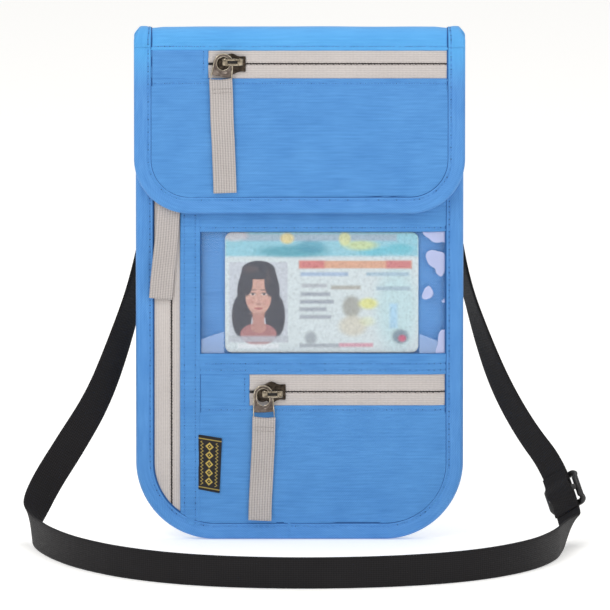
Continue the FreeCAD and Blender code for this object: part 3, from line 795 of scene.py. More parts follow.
# Dark lenses for the needle holes: painted shade in the holes
NEEDLE_HOLE_SHADE = woven_cloth("needle_hole_shade", "285488", "1d426c", 0.3 * MM, 0.3 * MM)
LINING_CLOTH = woven_cloth("lining_cloth", "7d8894", "5d6873", 0.4 * MM, 0.4 * MM)
BEIGE_TAPE = webbing("beige_tape", "d2cbc7", "b2aaa7", 0.8 * MM, 0.6 * MM)
BEIGE_THREAD = webbing("beige_thread", "c6bebb", "9a918e", 0.3 * MM, 0.3 * MM)


def make_foil_material():
    """Crinkled silver shielding foil."""
    foil = Shades("foil", Metallic=1.0, Roughness=0.3)
    crinkle = foil.noise(180.0, 4.0)
    foil.colour(foil.mix(crinkle, linear("8d9196"), linear("c8ccd0")))
    foil.rough(foil.ramp(crinkle, 0.3, 0.7, 0.22, 0.42))
    foil.bump(crinkle, 0.6, 0.5 * MM)
    return foil.material


FOIL = make_foil_material()


# ---- Pouch body ----
FACING_LEFT = low("facing_strip").x
FACING_RIGHT = high("facing_strip").x
WINDOW_BOTTOM = low("window_film").z
WINDOW_TOP = high("window_film").z
LOWER_TAPE_BOTTOM = high("lower_pocket_panel").z
LOWER_TAPE_TOP = low("window_bottom_band").z
LOWER_TAPE_LEFT = high("lower_zip_end_patch").x
PANEL_SIDE = BODY_HALF_WIDTH - SEAM_ALLOWANCE
FRONT_TOP = high("facing_strip").z
FOLD_RAISE = 0.35 * MM
FACING_RAISE = 1.6 * FOLD_RAISE
PATCH_RAISE = 0.8 * FOLD_RAISE


def make_body_layers():
    """Back panel, shielding foils, linings and the cloth behind the window."""
    sides = (-PANEL_SIDE, PANEL_SIDE)

    def back_relief(x, z):
        """Small soft bumps all over the back."""
        return 0.22 * MM * cloud(x, z, 16 * MM, 2.2)

    cloth_slab("back_panel_cloth", sides, (0, BODY_TOP), body_back, PANEL_CLOTH, BLUE_CLOTH, "pouch",
               "blue_cloth", ["back_panel"], outward=1, outline=BODY_OUTLINE, relief=back_relief)
    layers = (
        ("rear_foil", body_back, 1, -0.85, 0.15, FOIL, "foil", "rfid_foil_rear", BODY_TOP),
        ("rear_lining_cloth", body_back, 1, -1.1, 0.25, LINING_CLOTH, "lining", "rear_lining", BODY_TOP),
        ("front_lining_cloth", body_front, -1, -3.85, 0.25, LINING_CLOTH, "lining", "front_lining",
         FRONT_TOP),
        ("front_foil", body_front, -1, -3.6, 0.15, FOIL, "foil", "rfid_foil_front", FRONT_TOP),
        ("base_panel_cloth", body_front, -1, -2.9, 0.5, BLUE_CLOTH, "blue_cloth", "base_panel", FRONT_TOP),
    )
    for name, face, outward, lift, thickness, material, slot, node, top in layers:
        away = 4.0 * MM if "foil" in name else SEAM_ALLOWANCE
        span = (-BODY_HALF_WIDTH + away, BODY_HALF_WIDTH - away)

        def squeezed(x, z, face=face, lift=lift, outward=outward):
            """The layers close up towards the bound edge."""
            room = body_half(x, z) / BODY_HALF_DEPTH
            return face(x, z) + outward * lift * MM * room

        cloth_slab(name, span, (0, top), squeezed, thickness * MM, material, "pouch", slot, [node],
                   outward=outward, outline=BODY_OUTLINE, step=1.6 * MM, margin=away)


def make_facing_strip():
    """The upright blue strip between the side zip and the window, hemmed and stitched down both sides."""
    rows = (FACING_LEFT + 1.9 * MM, FACING_RIGHT - 2.3 * MM)

    def relief(x, z):
        rise = 0.12 * MM * math.sin(math.pi * (x - FACING_LEFT) / (FACING_RIGHT - FACING_LEFT))
        for number, row in enumerate(rows):
            rise += stitched(z, x - row, 3.3 + number)
        return rise

    cloth_slab("facing_strip_cloth", (FACING_LEFT, FACING_RIGHT), (0, FRONT_TOP), body_front, 0.7 * MM,
               BLUE_CLOTH, "pouch", "blue_cloth", ["facing_strip"], outline=BODY_OUTLINE,
               lift=FACING_RAISE, relief=relief, step=0.6 * MM)
    cloth_slab("facing_seam_shade", (FACING_RIGHT - 0.15 * MM, FACING_RIGHT + 0.35 * MM),
               (4 * MM, FRONT_TOP - 6 * MM), body_front, 0.5 * MM, SEAM_SHADE, "pouch", "blue_cloth",
               lift=FOLD_RAISE + 0.12 * MM, step=1.5 * MM)
    return [seam(body_front, -1, FACING_RAISE, [(row, 6 * MM), (row, FLAP_BOTTOM + 8 * MM)], relief)
            for row in rows]


def make_window_bands():
    """The blue bands above and below the window, with their rows of stitches."""
    top_row = WINDOW_TOP + 1.8 * MM
    band_rows = (LOWER_TAPE_TOP + 2.0 * MM, LOWER_TAPE_TOP + 4.9 * MM)

    def top_relief(x, z):
        """One row of stitches along the window's top."""
        return stitched(x, z - top_row, 5.1)

    def band_relief(x, z):
        """Two rows of stitches along the band below the window."""
        rise = 0.1 * MM
        for number, row in enumerate(band_rows):
            rise += stitched(x, z - row, 6.1 + number)
        return rise

    cloth_slab("window_top_cloth", (FACING_RIGHT - 1 * MM, PANEL_SIDE), (WINDOW_TOP, FRONT_TOP), body_front,
               PANEL_CLOTH, BLUE_CLOTH, "pouch", "blue_cloth", ["window_top_band"], lift=FOLD_RAISE,
               relief=top_relief)
    cloth_slab("window_bottom_cloth", (FACING_RIGHT - 1 * MM, PANEL_SIDE), (LOWER_TAPE_TOP, WINDOW_BOTTOM),
               body_front, PANEL_CLOTH, BLUE_CLOTH, "pouch", "blue_cloth", ["window_bottom_band"],
               lift=FOLD_RAISE, relief=band_relief, step=0.6 * MM)
    left = FACING_RIGHT + 1 * MM
    right = BODY_HALF_WIDTH - BINDING_WIDTH
    rows = [seam(body_front, -1, FOLD_RAISE, [(left, top_row), (right, top_row)], top_relief)]
    for row in band_rows:
        rows.append(seam(body_front, -1, FOLD_RAISE, [(left, row), (right, row)], band_relief))
    return rows


def make_lower_pocket():
    """The lower pocket's panel and the patch over its zip's left end."""
    turned_edge = LOWER_TAPE_BOTTOM - 2.0 * MM
    patch_column = LOWER_TAPE_LEFT - 2.2 * MM

    def panel_relief(x, z):
        rise = stitched(x, z - turned_edge, 8.4, 0.6 * MM)
        sag = 0.35 * MM * cloud(x, z, 42 * MM, 11.2)
        return rise + sag * smooth((LOWER_TAPE_BOTTOM - z) / (12 * MM))

    def patch_relief(x, z):
        return stitched(z, x - patch_column, 8.9)

    cloth_slab("lower_pocket_cloth", (FACING_RIGHT - 1 * MM, PANEL_SIDE), (0, LOWER_TAPE_BOTTOM), body_front,
               PANEL_CLOTH, BLUE_CLOTH, "pouch", "blue_cloth", ["lower_pocket_panel"], outline=BODY_OUTLINE,
               lift=FOLD_RAISE, relief=panel_relief)
    cloth_slab("lower_end_patch_cloth", (FACING_RIGHT - 1 * MM, LOWER_TAPE_LEFT),
               (LOWER_TAPE_BOTTOM - 0.4 * MM, LOWER_TAPE_TOP + 0.4 * MM), body_front, PATCH_CLOTH, BLUE_CLOTH,
               "pouch", "blue_cloth", ["lower_zip_end_patch"], lift=PATCH_RAISE, relief=patch_relief,
               step=0.6 * MM)
    left = FACING_RIGHT + 1 * MM
    right = BODY_HALF_WIDTH - BINDING_WIDTH
    column = [(patch_column, LOWER_TAPE_BOTTOM + 1 * MM), (patch_column, LOWER_TAPE_TOP - 1 * MM)]
    return [seam(body_front, -1, FOLD_RAISE, [(left, turned_edge), (right, turned_edge)], panel_relief),
            seam(body_front, -1, PATCH_RAISE, column, patch_relief)]


make_body_layers()
BODY_SEAMS = make_facing_strip() + make_window_bands() + make_lower_pocket()
BODY_BINDING, BODY_ROWS = make_binding(
    "body_binding", outline_stations(BODY_OUTLINE, BODY_TOP, body_front, body_back, -4.6 * MM),
    BLUE_BINDING, "blue_binding", ["edge_binding_bottom", "edge_binding_left", "edge_binding_right"])
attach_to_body(BODY_BINDING, "pouch")
sew("body_stitching", BODY_SEAMS + BODY_ROWS, BLUE_THREAD, "pouch", "blue_binding")


# ---- Mouth, flap and fold ----
FLAP_TAPE_BOTTOM = high("flap_panel").z
FLAP_TAPE_TOP = low("flap_top_band").z
FLAP_TAPE_LEFT = high("flap_zip_end_patch").x
FLAP_SIDE = FLAP_HALF_WIDTH - SEAM_ALLOWANCE
FLAP_JOIN = 222.2 * MM
FOLD_REAR = high("flap_fold").y - 0.35 * MM
FOLD_BOTTOM = 217 * MM
FOLD_RADIUS = 6.2 * MM
FOLD_HALF = 0.4 * MM


def make_mouth_binding():
    """The tape over the top edge of the front panels."""
    def place(x):
        edge = Vector((x, 0, BODY_TOP))

        def front(away):
            return -body_front(x, BODY_TOP - away)

        def back(away):
            return front(away) - 3.9 * MM
        return edge, Vector((0, 0, -1)), Vector((0, -1, 0)), front, back, 0.0

    half = high("mouth_binding").x
    count = round(2 * half / CLOTH_STEP)
    places = [place(half - 2 * half * index / count) for index in range(count + 1)]
    binding, rows = make_binding("mouth_binding_tape", places, BLUE_BINDING, "blue_binding",
                                 ["mouth_binding"])
    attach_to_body(binding, "pouch")
    sew("mouth_stitching", rows[:1], BLUE_THREAD, "pouch", "blue_binding")


def make_flap_cloth():
    """The flap's lining, panel and the patch over its zip's left end."""
    turned_edge = FLAP_TAPE_BOTTOM - 2.2 * MM
    patch_column = FLAP_TAPE_LEFT - 2.2 * MM

    def panel_relief(x, z):
        rise = stitched(x, z - turned_edge, 12.4, 0.6 * MM)
        return rise + 0.3 * MM * cloud(x, z, 45 * MM, 13.2) * smooth((FLAP_TAPE_BOTTOM - z) / (12 * MM))

    def patch_relief(x, z):
        return stitched(z, x - patch_column, 14.9)

    cloth_slab("flap_lining_cloth", (-FLAP_SIDE, FLAP_SIDE), (FLAP_BOTTOM, FLAP_JOIN), flap_back, 0.4 * MM,
               LINING_CLOTH, "flap", "lining", ["flap_lining"], outward=1, outline=FLAP_OUTLINE)
    cloth_slab("flap_panel_cloth", (-FLAP_SIDE, FLAP_SIDE), (FLAP_BOTTOM, FLAP_TAPE_BOTTOM), flap_front,
               PANEL_CLOTH, BLUE_CLOTH, "flap", "blue_cloth", ["flap_panel"], outline=FLAP_OUTLINE,
               lift=FOLD_RAISE, relief=panel_relief)
    cloth_slab("flap_end_patch_cloth", (-FLAP_SIDE, FLAP_TAPE_LEFT),
               (FLAP_TAPE_BOTTOM - 0.4 * MM, FLAP_TAPE_TOP + 0.4 * MM), flap_front, PATCH_CLOTH, BLUE_CLOTH,
               "flap", "blue_cloth", ["flap_zip_end_patch"], lift=PATCH_RAISE, relief=patch_relief,
               step=0.6 * MM)
    left = -FLAP_HALF_WIDTH + BINDING_WIDTH
    column = [(patch_column, FLAP_TAPE_BOTTOM + 1 * MM), (patch_column, FLAP_TAPE_TOP - 1 * MM)]
    return [seam(flap_front, -1, FOLD_RAISE, [(left, turned_edge), (-left, turned_edge)], panel_relief),
            seam(flap_front, -1, PATCH_RAISE, column, patch_relief)]


def fold_sink(x, z):
    """The fold is lower at its two ends, under the binding."""
    near_end = smooth((abs(x) - FLAP_HALF_WIDTH + 14 * MM) / (6 * MM))
    return 0.5 * MM * near_end * smooth((z - FLAP_JOIN) / (4 * MM))


def fold_profile(front_y, bottom):
    """Middle line of the folded sheet from the back over the top to the front, with outward directions."""
    top = FLAP_TOP - FOLD_HALF
    step = 0.7 * MM
    profile = []

    def run(start, end, normal):
        """A straight stretch of the sheet."""
        count = round(math.dist(start, end) / step)
        for index in range(count):
            part = index / count
            place = [a + (b - a) * part for a, b in zip(start, end)]
            profile.append((place, normal))

    def bend(centre, first_angle):
        """A quarter turn of the sheet."""
        count = round(FOLD_RADIUS * math.pi / 2 / step)
        for index in range(count):
            angle = math.radians(first_angle + 90 * index / count)
            across, up = math.cos(angle), math.sin(angle)
            profile.append(([centre[0] + FOLD_RADIUS * across, centre[1] + FOLD_RADIUS * up], (across, up)))

    shoulder = top - FOLD_RADIUS
    run((FOLD_REAR, FOLD_BOTTOM), (FOLD_REAR, shoulder), (1, 0))
    bend((FOLD_REAR - FOLD_RADIUS, shoulder), 0)
    run((FOLD_REAR - FOLD_RADIUS, top), (front_y + FOLD_RADIUS, top), (0, 1))
    bend((front_y + FOLD_RADIUS, shoulder), 90)
    run((front_y, shoulder), (front_y, bottom), (-1, 0))
    profile.append(([front_y, bottom], (-1, 0)))
    return profile


def blend_over_fold(piece):
    """Bake the piece's placement into its mesh; the sheet is not bent here."""
    hinge_y = high("back_panel").y
    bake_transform(piece)


def make_fold_sheet():
    """One sheet from the back panel over the top and down to the flap's zip, with a stitched lower hem."""
    profile = fold_profile(FLAP_FACE - FOLD_RAISE + FOLD_HALF, FLAP_TAPE_TOP)
    half = FLAP_SIDE
    x_places = [-half + place for place in stations(2 * half, 1.2 * MM)]
    hem = FLAP_TAPE_TOP + 1.9 * MM
    outer, inner, uvs = [], [], []
    travelled = 0.0
    for index, ((y, z), (out_y, out_z)) in enumerate(profile):
        if index:
            travelled += math.dist((y, z), profile[index - 1][0])
        on_front = out_y < -0.9
        for x in x_places:
            soft = 0.3 * MM * cloud(x, travelled, 24 * MM, 17.3) - fold_sink(x, z)
            rise = FOLD_HALF + soft
            if on_front:
                rise = FOLD_HALF + soft * smooth((z - FLAP_TAPE_TOP) / (6 * MM))
                rise += groove(z - hem, 0.5 * MM, 0.25 * MM) + pucker(x, z - hem, 18.2)
                rise += edge_round(z - FLAP_TAPE_TOP, 0.5 * MM, 0.4 * MM)
            outer.append((x, y + out_y * rise, z + out_z * rise))
            inner.append((x, y + out_y * (soft - FOLD_HALF), z + out_z * (soft - FOLD_HALF)))
            uvs.append((x, -travelled))
    columns = len(x_places)
    rows = len(profile)
    count = len(outer)
    face_loops = [tuple(reversed(loop)) for loop in grid_faces(rows, columns)]
    faces = face_loops + [tuple(corner + count for corner in reversed(loop)) for loop in face_loops]
    rim = grid_rim(rows, columns)
    for corner, after in zip(rim, rim[1:] + rim[:1]):
        faces.append((corner, after, after + count, corner + count))
    # The fold's cloth is the lighter copy, painted light from above
    fold = new_piece("fold_cloth_painted_lit", outer + inner, faces, FOLD_CLOTH_PAINTED_LIT, uvs + uvs)
    blend_over_fold(attach(fold, None, "blue_cloth", ["flap_fold", "flap_top_band"]))
    left = -FLAP_HALF_WIDTH + BINDING_WIDTH

    def hem_face(x, z):
        """The level face of the band, where the hem's threads lie."""
        return FLAP_FACE - FOLD_RAISE + 0.27 * MM

    return [seam(hem_face, -1, 0.0, [(left, hem), (-left, hem)])]


def fold_stations(side):
    """Places for the binding over one end of the fold, from the front to the back."""
    end_x = side * FLAP_HALF_WIDTH
    middle_y = (flap_front(end_x, FLAP_JOIN) + flap_back(end_x, FLAP_JOIN)) / 2
    result = []
    for (y, z), (out_y, out_z) in reversed(fold_profile(FLAP_FACE - FOLD_RAISE + FOLD_HALF, FLAP_JOIN)):
        retreat = 2.4 * MM * smooth((z - FLAP_TOP + 4.5 * MM) / (5 * MM))
        back_drop = 0.0
        on_front = out_y < -0.9
        if out_y < -0.5:
            back_drop = (middle_y - y) * 1.2 * smooth((FLAP_JOIN + 5 * MM - z) / (5 * MM))
        origin = Vector((side * (FLAP_HALF_WIDTH - retreat), y, z))
        inward = Vector((-side * (1 - retreat / BINDING_WIDTH), 0, 0))
        normal = Vector((0, out_y, out_z))
        settled = smooth((z - FLAP_JOIN) / (3.5 * MM)) if on_front else 1.0

        def front(away, y=y, z=z, settled=settled):
            x = side * (FLAP_HALF_WIDTH - away)
            joined = y - flap_front(x, FLAP_JOIN)
            return joined + (FOLD_HALF - 0.1 * MM - fold_sink(x, z) - joined) * settled

        def back(away, drop=back_drop, z=z):
            return -FOLD_HALF - drop - fold_sink(side * FLAP_HALF_WIDTH, z)
        result.append((origin, inward, normal, front, back, 0.0))
    return result


def make_flap_bindings():
    """The binding round the flap and over both ends of the fold."""
    edge = outline_stations(FLAP_OUTLINE, FLAP_JOIN, flap_front, flap_back)
    front, rows = make_binding("flap_binding_tape", edge, BLUE_BINDING, "blue_binding", ["flap_binding"],
                               turn=1.6 * MM)
    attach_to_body(front, "flap")
    for side, word in ((-1, "left"), (1, "right")):
        places = fold_stations(side)
        if side < 0:
            places.reverse()
        band, fold_rows = make_binding("fold_binding_" + word, places, BLUE_BINDING, "blue_binding", [],
                                       turn=1.6 * MM)
        blend_over_fold(band)
        blend_over_fold(sew("fold_stitching_" + word, fold_rows[:1], BLUE_THREAD, None, "blue_binding"))
    return rows


make_mouth_binding()
FLAP_SEAMS = make_flap_cloth() + make_fold_sheet() + make_flap_bindings()
sew("flap_stitching", FLAP_SEAMS, BLUE_THREAD, "flap", "blue_binding")


# ---- Zips ----
TOOTH_PITCH = 1.3 * MM
HALF_SLIT = 0.28 * MM
TAPE_LIFT = -0.2 * MM


class Shape:
    """Parts gathered into one mesh, each placed by its own frame."""

    def __init__(self, origin, along, across, out):
        self.origin = Vector(origin)
        self.axes = (Vector(along), Vector(across), Vector(out))
        self.vertices, self.faces, self.uvs, self.kinds = [], [], [], []

    def place(self, point):
        """A local (along, across, out) point in the object's frame."""
        return self.origin + sum((axis * value for axis, value in zip(self.axes, point)), Vector())

    def add(self, points, faces, kind=0):
        """Take in local points and their faces, all of one material."""
        first = len(self.vertices)
        self.vertices += [self.place(point) for point in points]
        self.uvs += [(point[0], point[1]) for point in points]
        self.faces += [tuple(first + corner for corner in face) for face in faces]
        self.kinds += [kind] * len(faces)

    def loft(self, loops, kind=0, closed=True):
        """A skin over loops of points, capped at both ends."""
        columns = len(loops[0])
        points = [point for loop in loops for point in loop]
        faces = grid_faces(len(loops), columns, wrap_columns=True)
        if closed:
            faces.append(tuple(range(columns - 1, -1, -1)))
            faces.append(tuple(range(len(points) - columns, len(points))))
        self.add(points, faces, kind)

    def wire(self, line, radius, kind=0, around=8, closed=False, flat=1.0):
        """A round or flattened wire along a line that lies level in the along-across plane."""
        loops = []
        count = len(line)
        for index, (u, v, w) in enumerate(line):
            before = line[(index - 1) % count] if closed else line[max(index - 1, 0)]
            after = line[(index + 1) % count] if closed else line[min(index + 1, count - 1)]
            ahead = Vector(after) - Vector(before)
            side = Vector((-ahead.y, ahead.x, 0)).normalized()
            up = ahead.cross(side).normalized()
            loop = []
            for angle in round_angles(around):
                sideways = side * math.cos(angle) * radius
                loop.append(Vector((u, v, w)) + sideways - up * math.sin(angle) * radius * flat)
            loops.append(loop)
        if closed:
            loops.append(loops[0])
        self.loft(loops, kind, closed=not closed)

    def bead(self, centre, radii, kind=0, around=8, rings=5):
        """A small closed ellipsoid."""
        loops = []
        for ring in range(rings):
            slope = math.pi * (ring + 0.5) / rings - math.pi / 2
            loop = []
            for angle in round_angles(around):
                loop.append((centre[0] + radii[0] * math.cos(slope) * math.cos(angle),
                             centre[1] + radii[1] * math.cos(slope) * math.sin(angle),
                             centre[2] + radii[2] * math.sin(slope)))
            loops.append(loop)
        self.loft(loops, kind)

    def build(self, name, materials, body, slot, nodes=()):
        """Make the piece, with doubled points joined and its faces turned outwards."""
        piece = new_piece(name, self.vertices, self.faces, materials, self.uvs)
        piece.data.polygons.foreach_set("material_index", self.kinds)
        clean = bmesh.new()
        clean.from_mesh(piece.data)
        bmesh.ops.remove_doubles(clean, verts=clean.verts, dist=1e-7)
        bmesh.ops.recalc_face_normals(clean, faces=clean.faces)
        clean.to_mesh(piece.data)
        clean.free()
        return attach(piece, body, slot, nodes)


def metal(name, light, dark, roughness):
    """Plated zip metal with cloudy tarnish and rubbed patches."""
    plate = Shades(name, Metallic=1.0, Roughness=roughness)
    tarnish = plate.noise(700.0, 4.0)
    scratches = plate.noise(3500.0, 2.0)
    plate.colour(plate.mix(plate.ramp(tarnish, 0.3, 0.7), linear(dark), linear(light)))
    plate.rough(plate.ramp(tarnish, 0.3, 0.7, roughness + 0.12, roughness - 0.05))
    plate.bump(scratches, 0.25, 0.04 * MM)
    return plate.material


ANTIQUE = metal("antique_metal", "52483e", "241f1b", 0.34)
NICKEL = metal("worn_nickel", "b3a793", "675d4f", 0.22)
RIM_METAL = metal("rim_metal", "d8cdb9", "9d917e", 0.25)
BROWN_METAL = metal("brown_metal", "857a72", "5a504a", 0.34)
COIL = moulded_plastic("zip_coil", "4c4340", "241f1e", 0.4)
# Near-black filler for slots and gaps: painted shade
SLOT_SHADE = moulded_plastic("slot_shade", "191616", "0c0a0a", 0.7)


def make_tape(name, node, x_range, z_range, slit, upright, face, body, outline=None):
    """One side of a zip's tape, which swells over the coil and turns in at the slit."""
    def relief(x, z):
        distance = abs((x if upright else z) - slit)
        swell = 0.3 * MM * math.exp(-((distance - 1.6 * MM) / (1.3 * MM)) ** 2)
        return swell - 0.2 * MM * math.exp(-(distance / (0.6 * MM)) ** 2)

    cloth_slab(name, x_range, z_range, face, TAPE_CLOTH, BEIGE_TAPE, body, "beige_tape", [node],
               lift=TAPE_LIFT, relief=relief, step=0.5 * MM, turned=upright, outline=outline)


def make_coil(name, nodes, slit, start, end, slider, upright, face, body):
    """Dark coil behind the slit, its teeth, the scalloped tape beside it and the open end by the slider."""
    coil = Shape((0, 0, 0), (1, 0, 0), (0, 0, 1), (0, -1, 0))

    def spot(along, across, rise):
        """A place beside the slit, raised over the cloth."""
        x, z = (slit + across, along) if upright else (along, slit + across)
        return x, z, rise - face(x, z)

    steps = round((end - start) / (2 * MM))
    loops = []
    for index in range(steps + 1):
        along = start + (end - start) * index / steps
        corners = ((-1.7, -1.5), (1.7, -1.5), (1.7, -0.75), (-1.7, -0.75))
        loops.append([spot(along, across * MM, rise * MM) for across, rise in corners])
    coil.loft(loops, 0)
    teeth = int((end - start) / TOOTH_PITCH)
    for number in range(teeth):
        along = start + (number + 0.5) * TOOTH_PITCH
        opened = along < slider - 3 * MM if not upright else along > slider + 3 * MM
        if opened:
            continue
        radii = (0.42 * MM, 0.75 * MM, 0.3 * MM) if not upright else (0.75 * MM, 0.42 * MM, 0.3 * MM)
        side = 0.3 * MM if number % 2 else -0.3 * MM
        coil.bead(spot(along, side, -0.55 * MM), radii, 0, 6, 4)
        lip = (0.5 * MM, 0.3 * MM, 0.22 * MM) if not upright else (0.3 * MM, 0.5 * MM, 0.22 * MM)
        for edge in (-1, 1):
            shift = TOOTH_PITCH / 4 * edge
            coil.bead(spot(along + shift, edge * (HALF_SLIT + 0.32 * MM), -0.12 * MM), lip, 1, 6, 4)
    coil.build(name, [COIL, BEIGE_TAPE], body, "zip_coil", nodes)


def make_open_end(name, slit, start, end, face, body):
    """A dark tube in the open slot between the tape's end and the slider: painted shade in the gap."""
    slot = Shape((0, 0, 0), (1, 0, 0), (0, 0, 1), (0, -1, 0))
    count = 10
    loops = []
    for index in range(count + 1):
        part = index / count
        x = start + (end - start) * part
        half = 0.45 * MM + 0.45 * MM * smooth(part * 1.4)
        loop = []
        for angle in round_angles(8):
            z = slit + half * math.cos(angle)
            loop.append((x, z, 0.1 * MM + 0.12 * MM * math.sin(angle) - face(x, z)))
        loops.append(loop)
    slot.loft(loops)
    slot.build(name, [SLOT_SHADE], body, "zip_coil")


def make_zip_tapes():
    """The tapes and coils of the three zips."""
    side_slit = (high("side_zip_tape_outer").x + low("side_zip_tape_inner").x) / 2
    top = high("side_zip_tape_inner").z
    coil_bottom = low("side_zip_coil_outer").z
    outer_left = low("side_zip_tape_outer").x + 2 * MM
    make_tape("side_tape_outer", "side_zip_tape_outer", (outer_left, side_slit - HALF_SLIT), (5 * MM, top),
              side_slit, True, body_front, "pouch", BODY_OUTLINE)
    make_tape("side_tape_inner", "side_zip_tape_inner", (side_slit + HALF_SLIT, FACING_LEFT + 0.6 * MM),
              (3 * MM, top), side_slit, True, body_front, "pouch", BODY_OUTLINE)
    side_slider = (low("side_zip_slider").z + high("side_zip_slider").z) / 2
    make_coil("side_coil", ["side_zip_coil_outer", "side_zip_coil_inner"], side_slit, coil_bottom - 8 * MM,
              top, side_slider, True, body_front, "pouch")
    for prefix, face, body, right in (("lower", body_front, "pouch", PANEL_SIDE),
                                      ("flap", flap_front, "flap", FLAP_SIDE)):
        lower, upper = prefix + "_zip_tape_lower", prefix + "_zip_tape_upper"
        slit = (high(lower).z + low(upper).z) / 2
        left = low(lower).x - 0.6 * MM
        make_tape(prefix + "_tape_lower", lower, (left, right), (low(lower).z - 0.5 * MM, slit - HALF_SLIT),
                  slit, False, face, body)
        make_tape(prefix + "_tape_upper", upper, (left, right), (slit + HALF_SLIT, high(upper).z + 0.5 * MM),
                  slit, False, face, body)
        slider_node = prefix + "_zip_slider"
        slider = (low(slider_node).x + high(slider_node).x) / 2
        make_coil(prefix + "_coil", [prefix + "_zip_coil_lower", prefix + "_zip_coil_upper"], slit,
                  left + 0.5 * MM, right - 1 * MM, slider, False, face, body)
        make_open_end(prefix + "_open_end", slit, left + 0.7 * MM, slider - 3 * MM, face, body)


make_zip_tapes()


# ---- Sliders, pulls and ribbons ----
PIVOT_OFFSET = 4.15 * MM
RING_OUTER = 4.1 * MM
RING_HOLE = 2.9 * MM
PULL_HALF = 4.55 * MM
RIBBON_FOLD = 1.1 * MM
RIBBON_BOTTOM = -57.6 * MM
RIBBON_WIDTH = 10.2 * MM
RIBBON_TAPE = webbing("ribbon_tape", "c6bebb", "96908d", 1.15 * MM, 0.75 * MM)
# Dark lenses for the ribbons' needle holes: painted shade in the holes
BEIGE_HOLE_SHADE = webbing("beige_hole_shade", "a39b97", "8b8380", 0.3 * MM, 0.3 * MM)


def slider_outline(scale=1.0):
    """Half-outline of the slider's plate, from the head to the tail, mirrored to a closed loop."""
    half = ((-6.7, 1.2), (-6.5, 2.1), (-5.9, 2.7), (-4.9, 3.0), (-3.6, 3.3), (-2.6, 3.9), (-1.4, 4.6),
            (-0.3, 4.75), (0.8, 4.4), (2.0, 3.75), (3.2, 3.4), (5.6, 3.45), (5.8, 3.2))
    loop = [(u * scale, v * scale) for u, v in half]
    loop += [(u * scale, -v * scale) for u, v in reversed(half)]
    return [(u * MM, v * MM) for u, v in reversed(loop)]


def make_slider(prefix, centre, along, across, body, bail_shift):
    """Plate, keel and rear plate in dark metal, with a bright slotted bail with painted shade in its slot,
    and a lobe of the plate under the pull's ring whose dark also stands in for the shade seen through the
    ring.
    """
    slider = Shape(centre, along, across, (0, -1, 0))
    loops = []
    for level, scale in ((0.1, 0.97), (0.2, 1.0), (0.65, 1.0), (0.88, 0.95), (0.98, 0.86), (1.02, 0.5)):
        loops.append([(u, v, level * MM) for u, v in slider_outline(scale)])
    slider.loft(loops, 0)
    # A lobe of the dark plate under the ring: part of the plate, and painted shade seen through the ring's
    # hole
    ring_shade_lobe = []
    for level, radius in ((0.1, 2.4), (0.2, 2.6), (0.6, 2.6), (0.72, 2.3)):
        turns = [math.radians(30 * turn) for turn in range(12)]
        ring_shade_lobe.append([((-4.4 + radius * math.cos(turn)) * MM, (-1.9 + radius * math.sin(turn)) * MM,
                           level * MM) for turn in reversed(turns)])
    slider.loft(ring_shade_lobe, 0)
    rear = []
    for level, scale in ((-2.1, 0.84), (-2.0, 0.9), (-1.65, 0.9), (-1.55, 0.86)):
        rear.append([(u, v, level * MM) for u, v in slider_outline(scale)])
    slider.loft(rear, 0)
    keel = []
    for level in (-1.6, 0.2):
        corners = ((-2.8, -0.22), (2.4, -0.22), (2.4, 0.22), (-2.8, 0.22))
        keel.append([(u * MM, v * MM, level * MM) for u, v in corners])
    slider.loft(keel, 0)

    def bail_bar(path, v_middle, half_width, kind=1):
        """A flat bar with eased edges along a path of (along, out) points, in millimetres."""
        loops = []
        for index, (u, w) in enumerate(path):
            before = path[max(index - 1, 0)]
            after = path[min(index + 1, len(path) - 1)]
            ahead = Vector((after[0] - before[0], after[1] - before[1])).normalized()
            out = Vector((-ahead.y, ahead.x)) * 0.27
            loop = []
            for v, side in ((-half_width, -1), (half_width, -1), (half_width, 0.55), (half_width * 0.72, 1),
                            (-half_width * 0.72, 1), (-half_width, 0.55)):
                loop.append(((u + out.x * side) * MM, (v_middle + v + bail_shift) * MM,
                             (w + out.y * side) * MM))
            loops.append(loop)
        slider.loft(loops, kind)

    left_leg = [(-4.5, 0.8), (-4.5, 1.5), (-4.35, 1.95), (-3.95, 2.25), (-3.3, 2.4), (-2.2, 2.48)]
    arch = [(-2.6, 2.46), (-1.3, 2.52), (0, 2.55), (1.3, 2.52), (2.6, 2.46)]
    bail_bar(left_leg, 0, 1.6)
    bail_bar([(-u, w) for u, w in reversed(left_leg)], 0, 1.6)
    bail_bar(arch, 1.1, 0.5)
    bail_bar(arch, -1.1, 0.5)
    # A dark bar under the bail's slot: painted shade in the slot
    bail_bar([(u, w - 0.35) for u, w in arch], 0, 0.75, 2)
    slider.build(prefix + "_slider_metal", [ANTIQUE, NICKEL, SLOT_SHADE], body, "gunmetal",
                 [prefix + "_zip_slider"])


